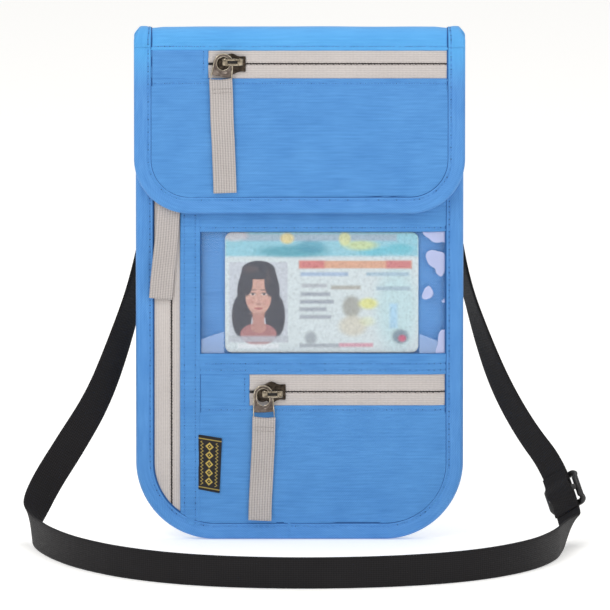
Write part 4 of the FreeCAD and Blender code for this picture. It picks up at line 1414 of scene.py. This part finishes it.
def make_pull(prefix, pivot, lean, body, ring_top, hole_bottom, plate_bottom, bar_level):
    """A flat stirrup: a long ring round the bail's leg, a plate below it and rails to the ribbon's bar."""
    angle = math.radians(lean)
    right = (math.cos(angle), 0, -math.sin(angle))
    up = (math.sin(angle), 0, math.cos(angle))
    pull = Shape(pivot, right, up, (0, -1, 0))
    rear, front = 1.12 * MM, 1.72 * MM
    upper_centre = ring_top - RING_OUTER
    lower_centre = hole_bottom + RING_HOLE

    def ring_point(turn, radius, level):
        """A point round the long ring; turn is 0 at its top."""
        middle = upper_centre if math.cos(turn) > 0 else lower_centre
        return radius * math.sin(turn), middle + radius * math.cos(turn), level

    ring = []
    for step in range(41):
        turn = 2 * math.pi * step / 40
        ring.append([ring_point(turn, radius, level) for radius, level in
                     ((RING_HOLE, rear), (RING_OUTER, rear), (RING_OUTER, front - 0.15 * MM),
                      (RING_OUTER - 0.2 * MM, front), (RING_HOLE + 0.15 * MM, front),
                      (RING_HOLE, front - 0.15 * MM))])
    pull.loft(ring, 0, closed=False)
    columns = 21
    plate = []
    for level, reach in ((rear + 0.05 * MM, 0), (rear + 0.05 * MM, 1), (front - 0.2 * MM, 1),
                         (front - 0.1 * MM, 0.93), (front - 0.1 * MM, 0)):
        line = []
        for column in range(columns):
            part = 2 * column / (columns - 1) - 1
            x, top, _ = ring_point(math.pi - math.radians(part * 85), RING_OUTER - 0.5 * MM, level)
            foot = (part * (PULL_HALF - 0.2 * MM), plate_bottom + 0.25 * MM * part ** 2)
            line.append((x + (foot[0] - x) * reach, top + (foot[1] - top) * reach, level))
        plate.append(line)
    rows = len(plate)
    faces = grid_faces(rows + 1, columns)[:-(columns - 1)]
    faces += [(first, first - (rows - 1) * columns, first - (rows - 1) * columns + 1, first + 1)
              for first in range((rows - 1) * columns, rows * columns - 1)]
    faces.append(tuple(row * columns for row in range(rows)))
    faces.append(tuple(row * columns + columns - 1 for row in reversed(range(rows))))
    pull.add([point for line in plate for point in line], faces, 0)
    middle = (rear + front) / 2 + 0.08 * MM
    rim = [(-PULL_HALF, bar_level, middle), (-PULL_HALF, plate_bottom, middle)]
    rim += [(*ring_point(math.radians(turn), RING_OUTER, middle)[:2], middle) for turn in range(-85, 86, 10)]
    rim += [(PULL_HALF, plate_bottom, middle), (PULL_HALF, bar_level, middle)]
    pull.wire(rim, 0.3 * MM, 1, closed=True, flat=1.2)
    hole = [ring_point(math.radians(10 * step), RING_HOLE, front) for step in range(36)]
    pull.wire(hole, 0.15 * MM, 1, closed=True)
    pull.build(prefix + "_pull_metal", [BROWN_METAL, RIM_METAL], body, "gunmetal", [prefix + "_zip_pull"])


def make_ribbon(prefix, pivot, lean, ribbon_lean, body, bar_level):
    """A ribbed ribbon folded through the stirrup, with two rows of stitches below the fold."""
    angle = math.radians(lean)
    foot = Vector(pivot) + Vector((math.sin(angle), 0, math.cos(angle))) * bar_level
    turn = math.radians(ribbon_lean)
    right = Vector((math.cos(turn), 0, -math.sin(turn)))
    up = Vector((math.sin(turn), 0, math.cos(turn)))
    drop = RIBBON_BOTTOM - bar_level
    top = RIBBON_FOLD
    path = [(0.88, drop), (0.86, drop * 0.75), (0.85, drop * 0.5), (0.85, drop * 0.25), (0.84, -4 * MM),
            (0.8, -2 * MM), (0.62, 0), (0.68, top * 0.7), (1.0, top), (1.45, top + 0.12 * MM), (1.9, top),
            (2.2, top * 0.7), (2.24, 0), (1.95, -2 * MM), (1.58, -4 * MM), (1.52, drop * 0.25),
            (1.53, drop * 0.5), (1.55, drop * 0.75), (1.58, drop)]
    line = []
    for index, (level, height) in enumerate(path):
        count = 10 if index in (0, 1, 2, 15, 16, 17) else 4
        following = path[min(index + 1, len(path) - 1)]
        for step in range(count):
            part = step / count
            line.append((level + (following[0] - level) * part, height + (following[1] - height) * part))
            if index == len(path) - 1:
                break
    half = RIBBON_WIDTH / 2
    ribs = 36
    section = [(-half + 2 * half * step / ribs, 1) for step in range(ribs + 1)]
    section += [(half - 2 * half * step / ribs, -1) for step in range(ribs + 1)]
    vertices, uvs = [], []
    travelled = 0.0
    for index, (level, height) in enumerate(line):
        before = line[max(index - 1, 0)]
        after = line[min(index + 1, len(line) - 1)]
        if index:
            travelled += math.hypot((level - line[index - 1][0]) * MM, height - line[index - 1][1])
        ahead = Vector(((after[0] - before[0]) * MM, after[1] - before[1])).normalized()
        normal = Vector((ahead.y, -ahead.x))
        sway = 0.25 * MM * noise.noise(Vector((height / (16 * MM), lean, 0.5)))
        for across, side in section:
            rib = 0.07 * MM * math.cos(2 * math.pi * across / (1.15 * MM))
            edge = 0.16 * MM * smooth(abs(across) / half * 5 - 4)
            thick = side * (0.27 * MM + rib - edge)
            dip = -0.5 * MM * (1 - (across / half) ** 2) * smooth((height + 3 * MM) / (3 * MM))
            out = level * MM + normal.x * thick
            rise = height + normal.y * thick + dip
            vertices.append(foot + right * (across + sway) + up * rise - Vector((0, out, 0)))
            uvs.append((travelled, across))
    columns = len(section)
    faces = grid_faces(len(line), columns, wrap_columns=True)
    faces.append(tuple(range(columns - 1, -1, -1)))
    faces.append(tuple(range(len(vertices) - columns, len(vertices))))
    ribbon = new_piece(prefix + "_ribbon_cloth", vertices, faces, RIBBON_TAPE, uvs)
    attach(ribbon, body, "beige_tape", [prefix + "_zip_ribbon"])
    rows = []
    for height in (-3.2 * MM, -5.0 * MM):
        row = []
        for step in range(40):
            across = (step / 39 - 0.5) * (RIBBON_WIDTH - 1.2 * MM)
            level = 2.02 * MM if height > -4 * MM else 1.86 * MM
            row.append((foot + right * across + up * height + Vector((0, -level, 0)), Vector((0, -1, 0))))
        rows.append(row)
    sew(prefix + "_ribbon_stitching", rows, BEIGE_THREAD, body, "beige_tape", pitch=1.7 * MM,
        radius=0.13 * MM, hole=BEIGE_HOLE_SHADE)


def make_hardware():
    """The three zips' sliders, with their pulls hanging from the bails."""
    hanging = (4.7 * MM, -2.6 * MM, -5.5 * MM, -7.8 * MM)
    hanging_low = (3.0 * MM, -6.0 * MM, -9.0 * MM, -12.3 * MM)
    for prefix, face, level, upright, lean, ribbon_lean, bail_shift, sizes in (
            ("side", body_front, BODY_FACE, True, 3.0, 5.0, 0.0, hanging),
            ("lower", body_front, BODY_FACE, False, -2.0, 2.5, -0.7, hanging_low),
            ("flap", flap_front, FLAP_FACE, False, 8.0, -2.3, 1.1, hanging)):
        node = prefix + "_zip_slider"
        centre = (low(node) + high(node)) / 2
        centre.y = min(level, face(centre.x, centre.z)) - 0.1 * MM
        along, across = ((0, 0, 1), (-1, 0, 0)) if upright else ((1, 0, 0), (0, 0, 1))
        make_slider(prefix, centre, along, across, prefix + "_slider", bail_shift)
        pivot = centre - Vector(along) * PIVOT_OFFSET
        make_pull(prefix, pivot, lean, prefix + "_pull", *sizes)
        make_ribbon(prefix, pivot, lean, ribbon_lean, prefix + "_pull", sizes[-1])


make_hardware()


# ---- Anchors and buckle ----
BUCKLE_INDEX = 22
BLACK_THREAD = webbing("black_thread", "4a484c", "2c2a2c", 0.3 * MM, 0.3 * MM)
END_BAR_LEVEL = -1.75 * MM
MIDDLE_BAR_LEVEL = 1.75 * MM
RAIL_HALF_WIDTH = 1.4 * MM
RAIL_HALF_DEPTH = 1.05 * MM
TAB_LOW = -8.8 * MM
TAB_HIGH = 9.4 * MM
TAB_SLIP = 1.7 * MM
TAB_REST = 1.35 * MM
TAB_CREST = 3.15 * MM


def make_anchors():
    """The strap's ends sewn to the back: a doubled end with a box of stitches and a cross."""
    for word in ("left", "right"):
        node = "strap_anchor_" + word
        corner_low, corner_high = low(node), high(node)
        middle = (corner_low + corner_high) / 2
        half = STRAP_WIDTH / 2
        line = [Vector((middle.x, STRAP_START_Y, corner_high.z + 0.8 * MM)),
                Vector((middle.x, STRAP_START_Y, corner_high.z)),
                Vector((middle.x, STRAP_START_Y + 0.05 * MM, middle.z)),
                Vector((middle.x, STRAP_START_Y, corner_low.z - 1 * MM))]
        across = [Vector((1, 0, 0))] * len(line)
        patch = sweep_band("anchor_" + word, line, across, ribbon_section(STRAP_WIDTH, 1.5 * MM),
                           BLACK_WEBBING)
        attach(patch, "pouch", "black_webbing", [node])
        rear = STRAP_START_Y + 0.72 * MM

        def rear_face(x, z, rear=rear):
            """The flat back of the sewn end."""
            return rear

        x0, x1 = middle.x - half + 1.8 * MM, middle.x + half - 1.8 * MM
        z0, z1 = corner_low.z + 1.2 * MM, corner_high.z - 1.2 * MM
        square = [(x0, z0), (x1, z0), (x1, z1), (x0, z1), (x0, z0), (x1, z1)]
        cross = [(x1, z0), (x0, z1)]
        sew("anchor_stitching_" + word, [seam(rear_face, 1, 0.0, run) for run in (square, cross)],
            BLACK_THREAD, "pouch", "black_webbing", pitch=2.2 * MM, hole=BLACK_WEBBING)


def buckle_frame():
    """Centre and directions of the buckle on its run of the strap."""
    start, across = (Vector(value) for value in STRAP_ROUTE[BUCKLE_INDEX])
    end = Vector(STRAP_ROUTE[BUCKLE_INDEX + 1][0])
    along = (end - start).normalized()
    width = (across - along * across.dot(along)).normalized()
    normal = along.cross(width).normalized()
    return start + along * 11.4 * MM + width * 0.6 * MM, along, width, -normal


def make_buckle():
    """A moulded three-bar slide: a rounded frame, and a ribbed middle bar before the webbing."""
    centre, along, width, out = buckle_frame()
    buckle = Shape(centre, along, width, out)
    half_length, half_width, corner = 6.7 * MM, 8.9 * MM, 2.4 * MM
    rim = []
    for quarter in range(4):
        sign_u = (1, -1, -1, 1)[quarter]
        sign_v = (1, 1, -1, -1)[quarter]
        for step in range(7):
            angle = math.radians(90 * quarter + 15 * step)
            rim.append((sign_u * (half_length - corner) + corner * math.cos(angle),
                        sign_v * (half_width - corner) + corner * math.sin(angle)))

    section = []
    for angle in round_angles(12):
        section.append((math.copysign(abs(math.cos(angle)) ** 0.7, math.cos(angle)),
                        math.copysign(abs(math.sin(angle)) ** 0.7, math.sin(angle))))
    loops = []
    count = len(rim)
    for index, (u, v) in enumerate(rim):
        before, after = rim[index - 1], rim[(index + 1) % count]
        ahead = Vector((after[0] - before[0], after[1] - before[1], 0)).normalized()
        side = Vector((ahead.y, -ahead.x, 0))
        end_bar = smooth((abs(u) - half_length * 0.55) / (half_length * 0.35))
        level = END_BAR_LEVEL * end_bar
        loops.append([(u + side.x * s * RAIL_HALF_WIDTH, v + side.y * s * RAIL_HALF_WIDTH,
                       level + w * RAIL_HALF_DEPTH) for s, w in section])
    loops.append(loops[0])
    buckle.loft(loops, 0, closed=False)
    bar = []
    steps = 36
    for step in range(steps + 1):
        v = -half_width + 2 * half_width * step / steps
        grip = 0.12 * MM * math.cos(2 * math.pi * v / (1.2 * MM))
        sink = MIDDLE_BAR_LEVEL * smooth((half_width - abs(v)) / (2.2 * MM))
        bar.append([(s * 1.3 * MM, v, sink + w * (0.75 * MM + grip * 0.4)) for s, w in section])
    buckle.loft(bar, 0)
    buckle.build("buckle_plastic", [BLACK_PLASTIC], "buckle", "black_plastic", ["strap_buckle"])


def make_tab():
    """The strap's doubled end: it climbs over the middle bar and lies on the strap below it."""
    centre, along, width, out = buckle_frame()
    line = []
    steps = 30
    for step in range(steps + 1):
        u = TAB_LOW + (TAB_HIGH - TAB_LOW) * step / steps
        crest = 1 - smooth((abs(u) - 1.0 * MM) / (5.5 * MM))
        level = TAB_REST + (TAB_CREST - TAB_REST) * crest
        slip = TAB_SLIP * smooth((6.5 * MM - abs(u + 1.5 * MM)) / (6.5 * MM)) - 0.6 * MM
        line.append(centre + along * u + width * slip + out * level)
    tab = sweep_band("strap_tab", line, [width] * len(line), ribbon_section(STRAP_WIDTH, STRAP_THICKNESS),
                     BLACK_WEBBING)
    return attach(tab, "buckle", "black_webbing")


make_anchors()
make_buckle()
STRAP_TAB = make_tab()


# ---- Printed card and woven label ----

def cover(shape, u, v):
    """How much a soft oval or box covers a place, from 0 to 1."""
    kind, middle_u, middle_v, half_u, half_v, edge = shape
    away_u, away_v = abs(u - middle_u), abs(v - middle_v)
    if away_u > half_u + edge or away_v > half_v + edge:
        return 0.0
    if kind == "oval":
        away = (math.hypot(away_u / half_u, away_v / half_v) - 1) * min(half_u, half_v)
    else:
        away = max(away_u - half_u, away_v - half_v)
    return 1 - smooth((away + edge / 2) / edge)


def oval(u, v, half_u, half_v, tint, edge=0.5, strength=1.0):
    """A soft-edged oval in millimetres from the print's lower left corner."""
    return ("oval", u, v, half_u, half_v, edge), linear(tint), strength


def box(u, v, half_u, half_v, tint, edge=0.5, strength=1.0):
    """A soft-edged box in millimetres from the print's lower left corner."""
    return ("box", u, v, half_u, half_v, edge), linear(tint), strength


def painted(ground, layers):
    """The printed colour at a place, from layers laid one over another."""
    base = linear(ground)

    def colour_at(u, v):
        """The colour of the topmost layers at one place."""
        colour = base
        for shape, tint, strength in layers:
            amount = cover(shape, u, v) * strength
            if amount > 0:
                colour = tuple(under + (over - under) * amount for under, over in zip(colour, tint))
        return colour

    return colour_at


def plate_rows(height, corner, step, fine=()):
    """Places up a rounded plate: by angle round its corners, then evenly, finer between two heights."""
    arc = [corner * (1 - math.cos(math.radians(9 * turn))) for turn in range(10)]
    rows = list(arc)
    while rows[-1] < height - corner - step:
        in_fine = fine and fine[0] < rows[-1] < fine[1]
        rows.append(rows[-1] + (fine[2] if in_fine else step))
    return rows + [height - place for place in reversed(arc)]


def printed_plate(name, size, corner, thickness, step, colour_at, place, material,
                  fine_rows=(), fine_columns=()):
    """A thin plate with rounded corners, whose front grid carries a printed colour at each vertex."""
    width, height = size
    rows = plate_rows(height, corner, step, fine_rows)
    columns = plate_rows(width, 0.1, step, fine_columns)
    front, colours, uvs = [], [], []
    for v in rows:
        near = min(v, height - v)
        short = corner - math.sqrt(max(corner ** 2 - (corner - near) ** 2, 0)) if near < corner else 0.0
        for part in columns:
            u = short + (width - 2 * short) * part / width
            border = min(u - short, width - short - u, near)
            front.append(place(u, v, 0.12 * (1 - smooth(border / 0.35))))
            colours.append((*colour_at(u, v)[:3], 1.0))
            uvs.append((u * MM, v * MM))
    across = len(columns)
    rim = grid_rim(len(rows), across)
    vertices = list(front)
    faces = grid_faces(len(rows), across)
    back = len(vertices)
    for index in rim:
        u, v = uvs[index]
        vertices.append(place(u / MM, v / MM, thickness))
        colours.append(colours[index])
        uvs.append(uvs[index])
    for index, corner_index in enumerate(rim):
        after = (index + 1) % len(rim)
        faces.append((rim[after], corner_index, back + index, back + after))
    faces.append(tuple(back + index for index in reversed(range(len(rim)))))
    piece = new_piece(name, vertices, faces, material, uvs)
    layer = piece.data.color_attributes.new("print", "FLOAT_COLOR", "POINT")
    layer.data.foreach_set("color", [value for colour in colours for value in colour])
    return piece


def make_print_material(name, roughness, coat, grain, woven=False):
    """A surface coloured by its printed colour, with a fine grain, or with threads if it is woven."""
    sheet = Shades(name, Roughness=roughness, Coat_Weight=coat, Coat_Roughness=0.12, Specular_IOR_Level=0.4)
    printed = sheet.add("ShaderNodeVertexColor", layer_name="print").outputs["Color"]
    speck = sheet.noise(grain, 2.0)
    tone = sheet.ramp(speck, 0.3, 0.7, 0.9, 1.08)
    shade = sheet.add("ShaderNodeVectorMath", {0: printed}, operation="SCALE")
    sheet.tree.links.new(tone, shade.inputs["Scale"])
    sheet.colour(shade.outputs[0])
    sheet.rough(sheet.ramp(speck, 0.3, 0.7, roughness - 0.05, roughness + 0.08))
    if woven:
        along, up = sheet.uv()
        threads = sheet.math("ADD", sheet.rib(along, 0.35 * MM), sheet.rib(up, 0.3 * MM))
        sheet.bump(threads, 0.8, 0.1 * MM)
    else:
        sheet.bump(speck, 0.1, 0.04 * MM)
    return sheet.material


CARD_SIZE = ((high("id_card").x - low("id_card").x) / MM, (high("id_card").z - low("id_card").z) / MM)
CARD_HEADER = [
    box(42.8, 48.8, 42.8, 5.6, "8fc6d1", 1.6),
    oval(30, 45.4, 15, 2.6, "3f98a6", 2.6, 0.85),
    oval(38, 47.6, 6, 3, "3a90a6", 2.6, 0.7),
    oval(66, 45.6, 7, 2, "5fbccb", 2.0, 0.8),
    oval(77, 46.4, 6, 2.4, "5cb9c6", 2.0, 0.8),
    oval(60, 48.2, 7, 2.2, "cbd68c", 2.2, 0.85),
    box(42, 51.6, 34, 1.5, "a3a4b2", 1.4, 0.65),
    oval(27.5, 51.2, 3, 2.4, "e0cc84", 1.5, 0.9),
    oval(53, 51, 2.6, 3, "d8d78a", 1.5, 0.8),
    oval(4, 53, 6, 3, "d6b9b6", 2.0, 0.6),
]
HAIR, SKIN, SKIN_SHADE = "33271f", "cd9f8b", "b98574"
CARD_PORTRAIT = [
    box(14.8, 24, 12.9, 16.6, "c3c7cc", 0.6),
    oval(14.8, 27.5, 9.4, 12.4, HAIR, 0.8),
    oval(7.4, 16.5, 4.4, 10, HAIR, 0.8),
    oval(22.2, 16.5, 4.4, 10, HAIR, 0.8),
    oval(14.8, 8.2, 8.0, 5.0, "a96f68", 0.8),
    box(14.8, 14, 2.6, 4.4, SKIN_SHADE, 1.0),
    oval(14.8, 11.3, 3.4, 2.4, SKIN_SHADE, 0.8),
    oval(14.8, 25.4, 5.7, 8.4, SKIN, 0.6),
    oval(11.4, 22.6, 1.8, 1.5, "c68c7b", 1.4, 0.5),
    oval(18.2, 22.6, 1.8, 1.5, "c68c7b", 1.4, 0.5),
    oval(14.8, 37.0, 7.4, 4.2, HAIR, 0.6),
    oval(9.4, 31.8, 2.9, 6.4, HAIR, 0.8),
    oval(20.3, 31.6, 2.9, 6.6, HAIR, 0.8),
    oval(11.4, 37.4, 3.2, 1.4, "5b4538", 1.6, 0.6),
    oval(19.0, 33.8, 0.7, 4.0, "54402f", 1.0, 0.5),
]


def drawn_eye(u):
    """One eye of the drawn face with its brow: white, iris, lid and brow."""
    return [
        oval(u, 26.2, 1.15, 0.45, "ddd0c8", 0.3),
        oval(u, 26.25, 0.6, 0.5, "3a2a22", 0.25),
        oval(u, 26.7, 1.3, 0.22, "5a3c30", 0.3, 0.9),
        oval(u, 28.1, 1.6, 0.3, "5d4334", 0.45, 0.8),
    ]


CARD_FACE = [
    oval(14.8, 23.6, 0.6, 2.3, "c19080", 0.8, 0.5),
    oval(14.8, 21.8, 1.1, 0.4, "a87060", 0.5, 0.8),
    oval(14.8, 19.7, 1.7, 0.6, "b5675f", 0.35, 0.9),
    oval(13.4, 19.95, 0.6, 0.25, "b5675f", 0.3, 0.7),
    oval(16.2, 19.95, 0.6, 0.25, "b5675f", 0.3, 0.7),
    oval(14.8, 19.75, 1.5, 0.12, "8a4a46", 0.25, 0.7),
    oval(14.8, 17.5, 3.2, 0.7, "b4826f", 1.0, 0.5),
    *drawn_eye(12.3),
    *drawn_eye(17.3),
]
CARD_FIELDS = [
    box(14.8, 6.0, 13.2, 1.4, "b4b6bc", 1.2, 0.8),
    box(14.8, 2.9, 9.0, 1.0, "e6e8e8", 1.2, 0.8),
    oval(76, 20, 9, 19, "b0d6d8", 8.0, 0.6),
    box(57.7, 39.5, 25, 1.7, "d8a27e", 0.9),
    box(38.5, 39.5, 5.5, 1.7, "cf6f69", 1.6, 0.9),
    box(76.8, 39.5, 5.5, 1.7, "cb6f6c", 1.6, 0.9),
    oval(56, 20.5, 4, 4.8, "948f7d", 2.2, 0.8),
    oval(56.5, 12, 6, 4.5, "cdc3a9", 3.0, 0.7),
    oval(63.4, 22, 4, 2.4, "dad97f", 2.0, 0.95),
    oval(63, 14, 3, 2, "dbdfa8", 2.4, 0.5),
    box(74.6, 16.5, 1.7, 5.5, "a2cae2", 2.0, 0.8),
    oval(77.6, 7.2, 3.6, 3.2, "66747f", 2.0, 0.85),
    oval(78.4, 6.4, 1.7, 1.5, "c9506a", 1.4, 0.95),
    oval(38, 6.5, 2.6, 2.8, "85898d", 2.0, 0.7),
]
CARD_BARS = [(44, 35.2, 10.5, "9db2cb"), (72, 35.2, 9.5, "9fb8c6"), (53.5, 29.2, 6.5, "a8a394"),
             (74.5, 28.8, 7.5, "9fb3bd"), (39.5, 30, 5.5, "aeb1b4"), (40, 26.2, 6.5, "999ea4"),
             (40.6, 22.8, 7.5, "969ba2"), (39, 19.4, 6.0, "999ea4"), (40, 16, 7.0, "9da2a8"),
             (42, 3.2, 9.0, "a2a7aa"), (58, 3.4, 7.5, "d4929e")]
CARD_FIELDS += [box(u, v, half, 0.85, tint, 1.1, 0.9) for u, v, half, tint in CARD_BARS]
LABEL_SIZE = (10.4, 24.6)
LABEL_LEAN = 0.16
LABEL_GOLD = linear("cdb35a")
LABEL_BLACK = linear("1b191c")


def make_card():
    """The card in the window: pale ground, teal header, plain bars for its fields and a drawn portrait."""
    corner = low("id_card")
    layers = CARD_HEADER + CARD_PORTRAIT + CARD_FACE + CARD_FIELDS
    thickness = (high("id_card").y - corner.y) / MM

    def place(u, v, depth):
        return corner + Vector((u, depth, v)) * MM

    card = printed_plate("card_plate", CARD_SIZE, 3.2, thickness, 0.42, painted("d0d9d8", layers), place,
                         make_print_material("card_print", 0.3, 0.4, 900.0),
                         fine_rows=(8.0, 41.0, 0.24), fine_columns=(1.5, 28.0, 0.24))
    attach(card, "card", "card", ["id_card"])


def label_colour(u, v):
    """A black ground with a braid of gold rings between two gold zigzags, and a line at each end."""
    width, height = LABEL_SIZE
    middle, pitch = width / 2 - 0.2, (height - 5.0) / 5
    gold = 0.0
    for line in (1.3, height - 1.5):
        gold = max(gold, 0.75 * (1 - smooth((abs(v - line) - 0.12) / 0.15)))
    if 2.3 < v < height - 2.5:
        part = abs((v - 2.4) % pitch - pitch / 2)
        ring = abs(u - middle) / 2.0 + part / (pitch / 2)
        gold = max(gold, 1 - smooth((abs(ring - 0.72) - 0.16) / 0.1), 1 - smooth((ring - 0.12) / 0.1))
        zigzag = abs((v / 0.8) % 2 - 1) - 0.5
        for side in (-3.4, 3.4):
            gold = max(gold, 0.8 * (1 - smooth((abs(u - middle - side - zigzag * 1.1) - 0.12) / 0.2)))
    return tuple(dark + (bright - dark) * gold for dark, bright in zip(LABEL_BLACK, LABEL_GOLD))


def make_label():
    """The woven label caught in the facing strip's seam, hanging slightly askew on the lower pocket."""
    left = low("woven_label").x - 0.9 * MM
    bottom = low("woven_label").z + 1.7 * MM

    def place(u, v, depth):
        narrowed = u * (1 - 0.1 * (1 - v / LABEL_SIZE[1]))
        x = left + narrowed * MM
        z = bottom + (v - LABEL_LEAN * u) * MM
        lifted = 0.75 + 0.25 * smooth((u - 2) / 9) + 0.12 * math.sin(v * 0.35)
        return Vector((x, body_front(x, z) - (lifted - depth) * MM, z))

    label = printed_plate("label_cloth", LABEL_SIZE, 0.25, 0.45, 0.16, label_colour, place,
                          make_print_material("label_weave", 0.55, 0.0, 2500.0, woven=True))
    attach(label, "pouch", "label_cloth", ["woven_label"])


make_card()
make_label()


# ---- Clear window ----

def make_film_material():
    """Clear soft film: nearly invisible, with pale patches where it catches the light."""
    film = Shades("clear_film", Roughness=0.08, Specular_IOR_Level=0.6)
    split = film.add("ShaderNodeSeparateXYZ", {0: film.space()})
    x, z = split.outputs["X"], split.outputs["Z"]
    clouds = film.noise(66.0, 2.0, roughness=0.35)
    side = film.ramp(x, 0.054, 0.0665, 0.0, 0.26)
    top = film.ramp(z, 0.108, 0.136, 0.0, 0.16)
    glare = film.ramp(film.math("ADD", clouds, film.math("ADD", side, top)), 0.70, 0.712)
    from_card_middle = film.math("ABSOLUTE", film.math("SUBTRACT", x, 0.0098))
    beside_card = film.ramp(from_card_middle, 0.0428, 0.0436, 0.06, 1.0)
    glare = film.math("MULTIPLY", glare, film.ramp(x, 0.0522, 0.0532))
    across = film.math("DIVIDE", film.math("SUBTRACT", x, 0.008), 0.064)
    up = film.math("DIVIDE", film.math("SUBTRACT", z, 0.0785), 0.0205)
    squares = [film.math("POWER", part, 2.0) for part in (across, up)]
    reach = film.math("SQRT", film.math("ADD", *squares))
    hill = film.math("MULTIPLY", film.ramp(reach, 1.0, 0.98, 0.0, 0.38), beside_card)
    strength = film.math("MAXIMUM", film.math("MULTIPLY", glare, 0.72), hill)
    film.colour(film.mix(glare, linear("b4cdf2"), linear("c3cbef")))
    alpha = film.math("MAXIMUM", strength, 0.05)
    film.tree.links.new(alpha, film.shader.inputs["Alpha"])
    film.bump(film.noise(90.0, 2.0), 0.25, 0.3 * MM)
    return film.material


def make_window_film():
    """The film sewn in behind the bands, slightly wavy between its four held edges."""
    corner_low, corner_high = low("window_film"), high("window_film")

    def waves(x, z):
        """Shallow upright waves in the film."""
        return 0.12 * MM * (1 + math.sin(x / (7 * MM) + 2 * cloud(x, z, 30 * MM, 3.3)))

    film = cloth_slab("window_sheet", (corner_low.x, PANEL_SIDE), (corner_low.z, corner_high.z), body_front,
                      0.3 * MM, make_film_material(), "pouch", "clear_film", ["window_film"],
                      lift=-0.5 * MM, relief=waves, step=1.2 * MM)


# ---- Hook and loop closure ----

def add_fibre(line, side, radius, vertices, faces, uvs):
    """A thin four-sided tube along a line that bends in one plane."""
    first = len(vertices)
    for index, point in enumerate(line):
        ahead = (line[min(index + 1, len(line) - 1)] - line[max(index - 1, 0)]).normalized()
        up = ahead.cross(side)
        for turn in range(4):
            angle = math.pi * turn / 2
            vertices.append(point + side * math.cos(angle) * radius + up * math.sin(angle) * radius)
            uvs.append((index * radius, angle * radius))
    faces += grid_faces(len(line), 4, wrap_columns=True, first=first)


def make_closure_material(name, light, dark):
    """Knitted ground with fine crossing ribs under the fibres."""
    tape = Shades(name, Roughness=0.75, Sheen_Weight=0.2)
    along, up = tape.uv()
    knit = tape.math("ADD", tape.rib(along, 0.7 * MM), tape.rib(up, 0.5 * MM))
    fuzz = tape.noise(1300.0, 3.0)
    tape.colour(tape.mix(tape.ramp(fuzz, 0.3, 0.7), linear(dark), linear(light)))
    tape.bump(tape.math("ADD", knit, fuzz), 0.8, 0.15 * MM)
    return tape.material


FIBRE_MARGIN = 1.5 * MM


def make_closure():
    """A loop patch on the pouch's front and a hook patch facing it inside the flap."""
    chance = random.Random(11)
    left, right = low("hook_patch").x, high("hook_patch").x
    bottom, top = low("hook_patch").z, high("hook_patch").z
    ground = make_closure_material("closure_tape", "5590cc", "3c74b2")
    fibre = make_closure_material("closure_fibre", "79abe0", "4f86c2")
    sides = (("loop", body_front, -1, 0.95 * MM, "pouch"), ("hook", flap_back, 1, 0.75 * MM, "flap"))
    for kind, face, outward, lift, body in sides:
        cloth_slab(kind + "_patch_tape", (left, right), (bottom, top), face, 0.6 * MM, ground, body,
                   "hook_and_loop", [kind + "_patch"], outward=outward, lift=lift)
        vertices, faces, uvs = [], [], []
        pitch = 0.95 * MM if kind == "loop" else 1.25 * MM
        columns = int((right - left - 2 * FIBRE_MARGIN) / pitch)
        rows = int((top - bottom - 2 * FIBRE_MARGIN) / pitch)
        for row in range(rows + 1):
            for column in range(columns + 1):
                loose = 0.4 * MM if kind == "loop" else 0.05 * MM
                x = left + FIBRE_MARGIN + column * pitch + chance.uniform(-loose, loose)
                z = bottom + FIBRE_MARGIN + row * pitch + chance.uniform(-loose, loose)
                turn = chance.uniform(0, math.pi) if kind == "loop" else math.pi / 2
                ahead = Vector((math.cos(turn), 0, math.sin(turn)))
                root = Vector((x, face(x, z) + outward * lift, z))
                out = Vector((0, outward, 0))
                if kind == "loop":
                    size = chance.uniform(0.3, 0.5) * MM
                    bend = [(math.cos(math.radians(angle)), math.sin(math.radians(angle))) for angle in
                            range(180, -1, -36)]
                    line = [root + ahead * (u * size) + out * (w * size * 0.8) for u, w in bend]
                else:
                    bend = ((0, 0), (0, 0.2), (0.03, 0.3), (0.12, 0.36), (0.22, 0.33), (0.27, 0.24))
                    line = [root + ahead * (u * MM) + out * (w * MM) for u, w in bend]
                add_fibre(line, ahead.cross(out), 0.06 * MM, vertices, faces, uvs)
        tuft = new_piece(kind + "_patch_fibres", vertices, faces, fibre, uvs)
        attach(tuft, body, "hook_and_loop")
        edge = 0.8 * MM
        corners = [(left + edge, bottom + edge), (right - edge, bottom + edge), (right - edge, top - edge),
                   (left + edge, top - edge), (left + edge, bottom + edge)]
        sew(kind + "_patch_stitching", [seam(face, outward, lift, corners)], BLUE_THREAD, body,
            "hook_and_loop", pitch=2.6 * MM)


make_window_film()
make_closure()


tuple(STRAP_LINE[0])
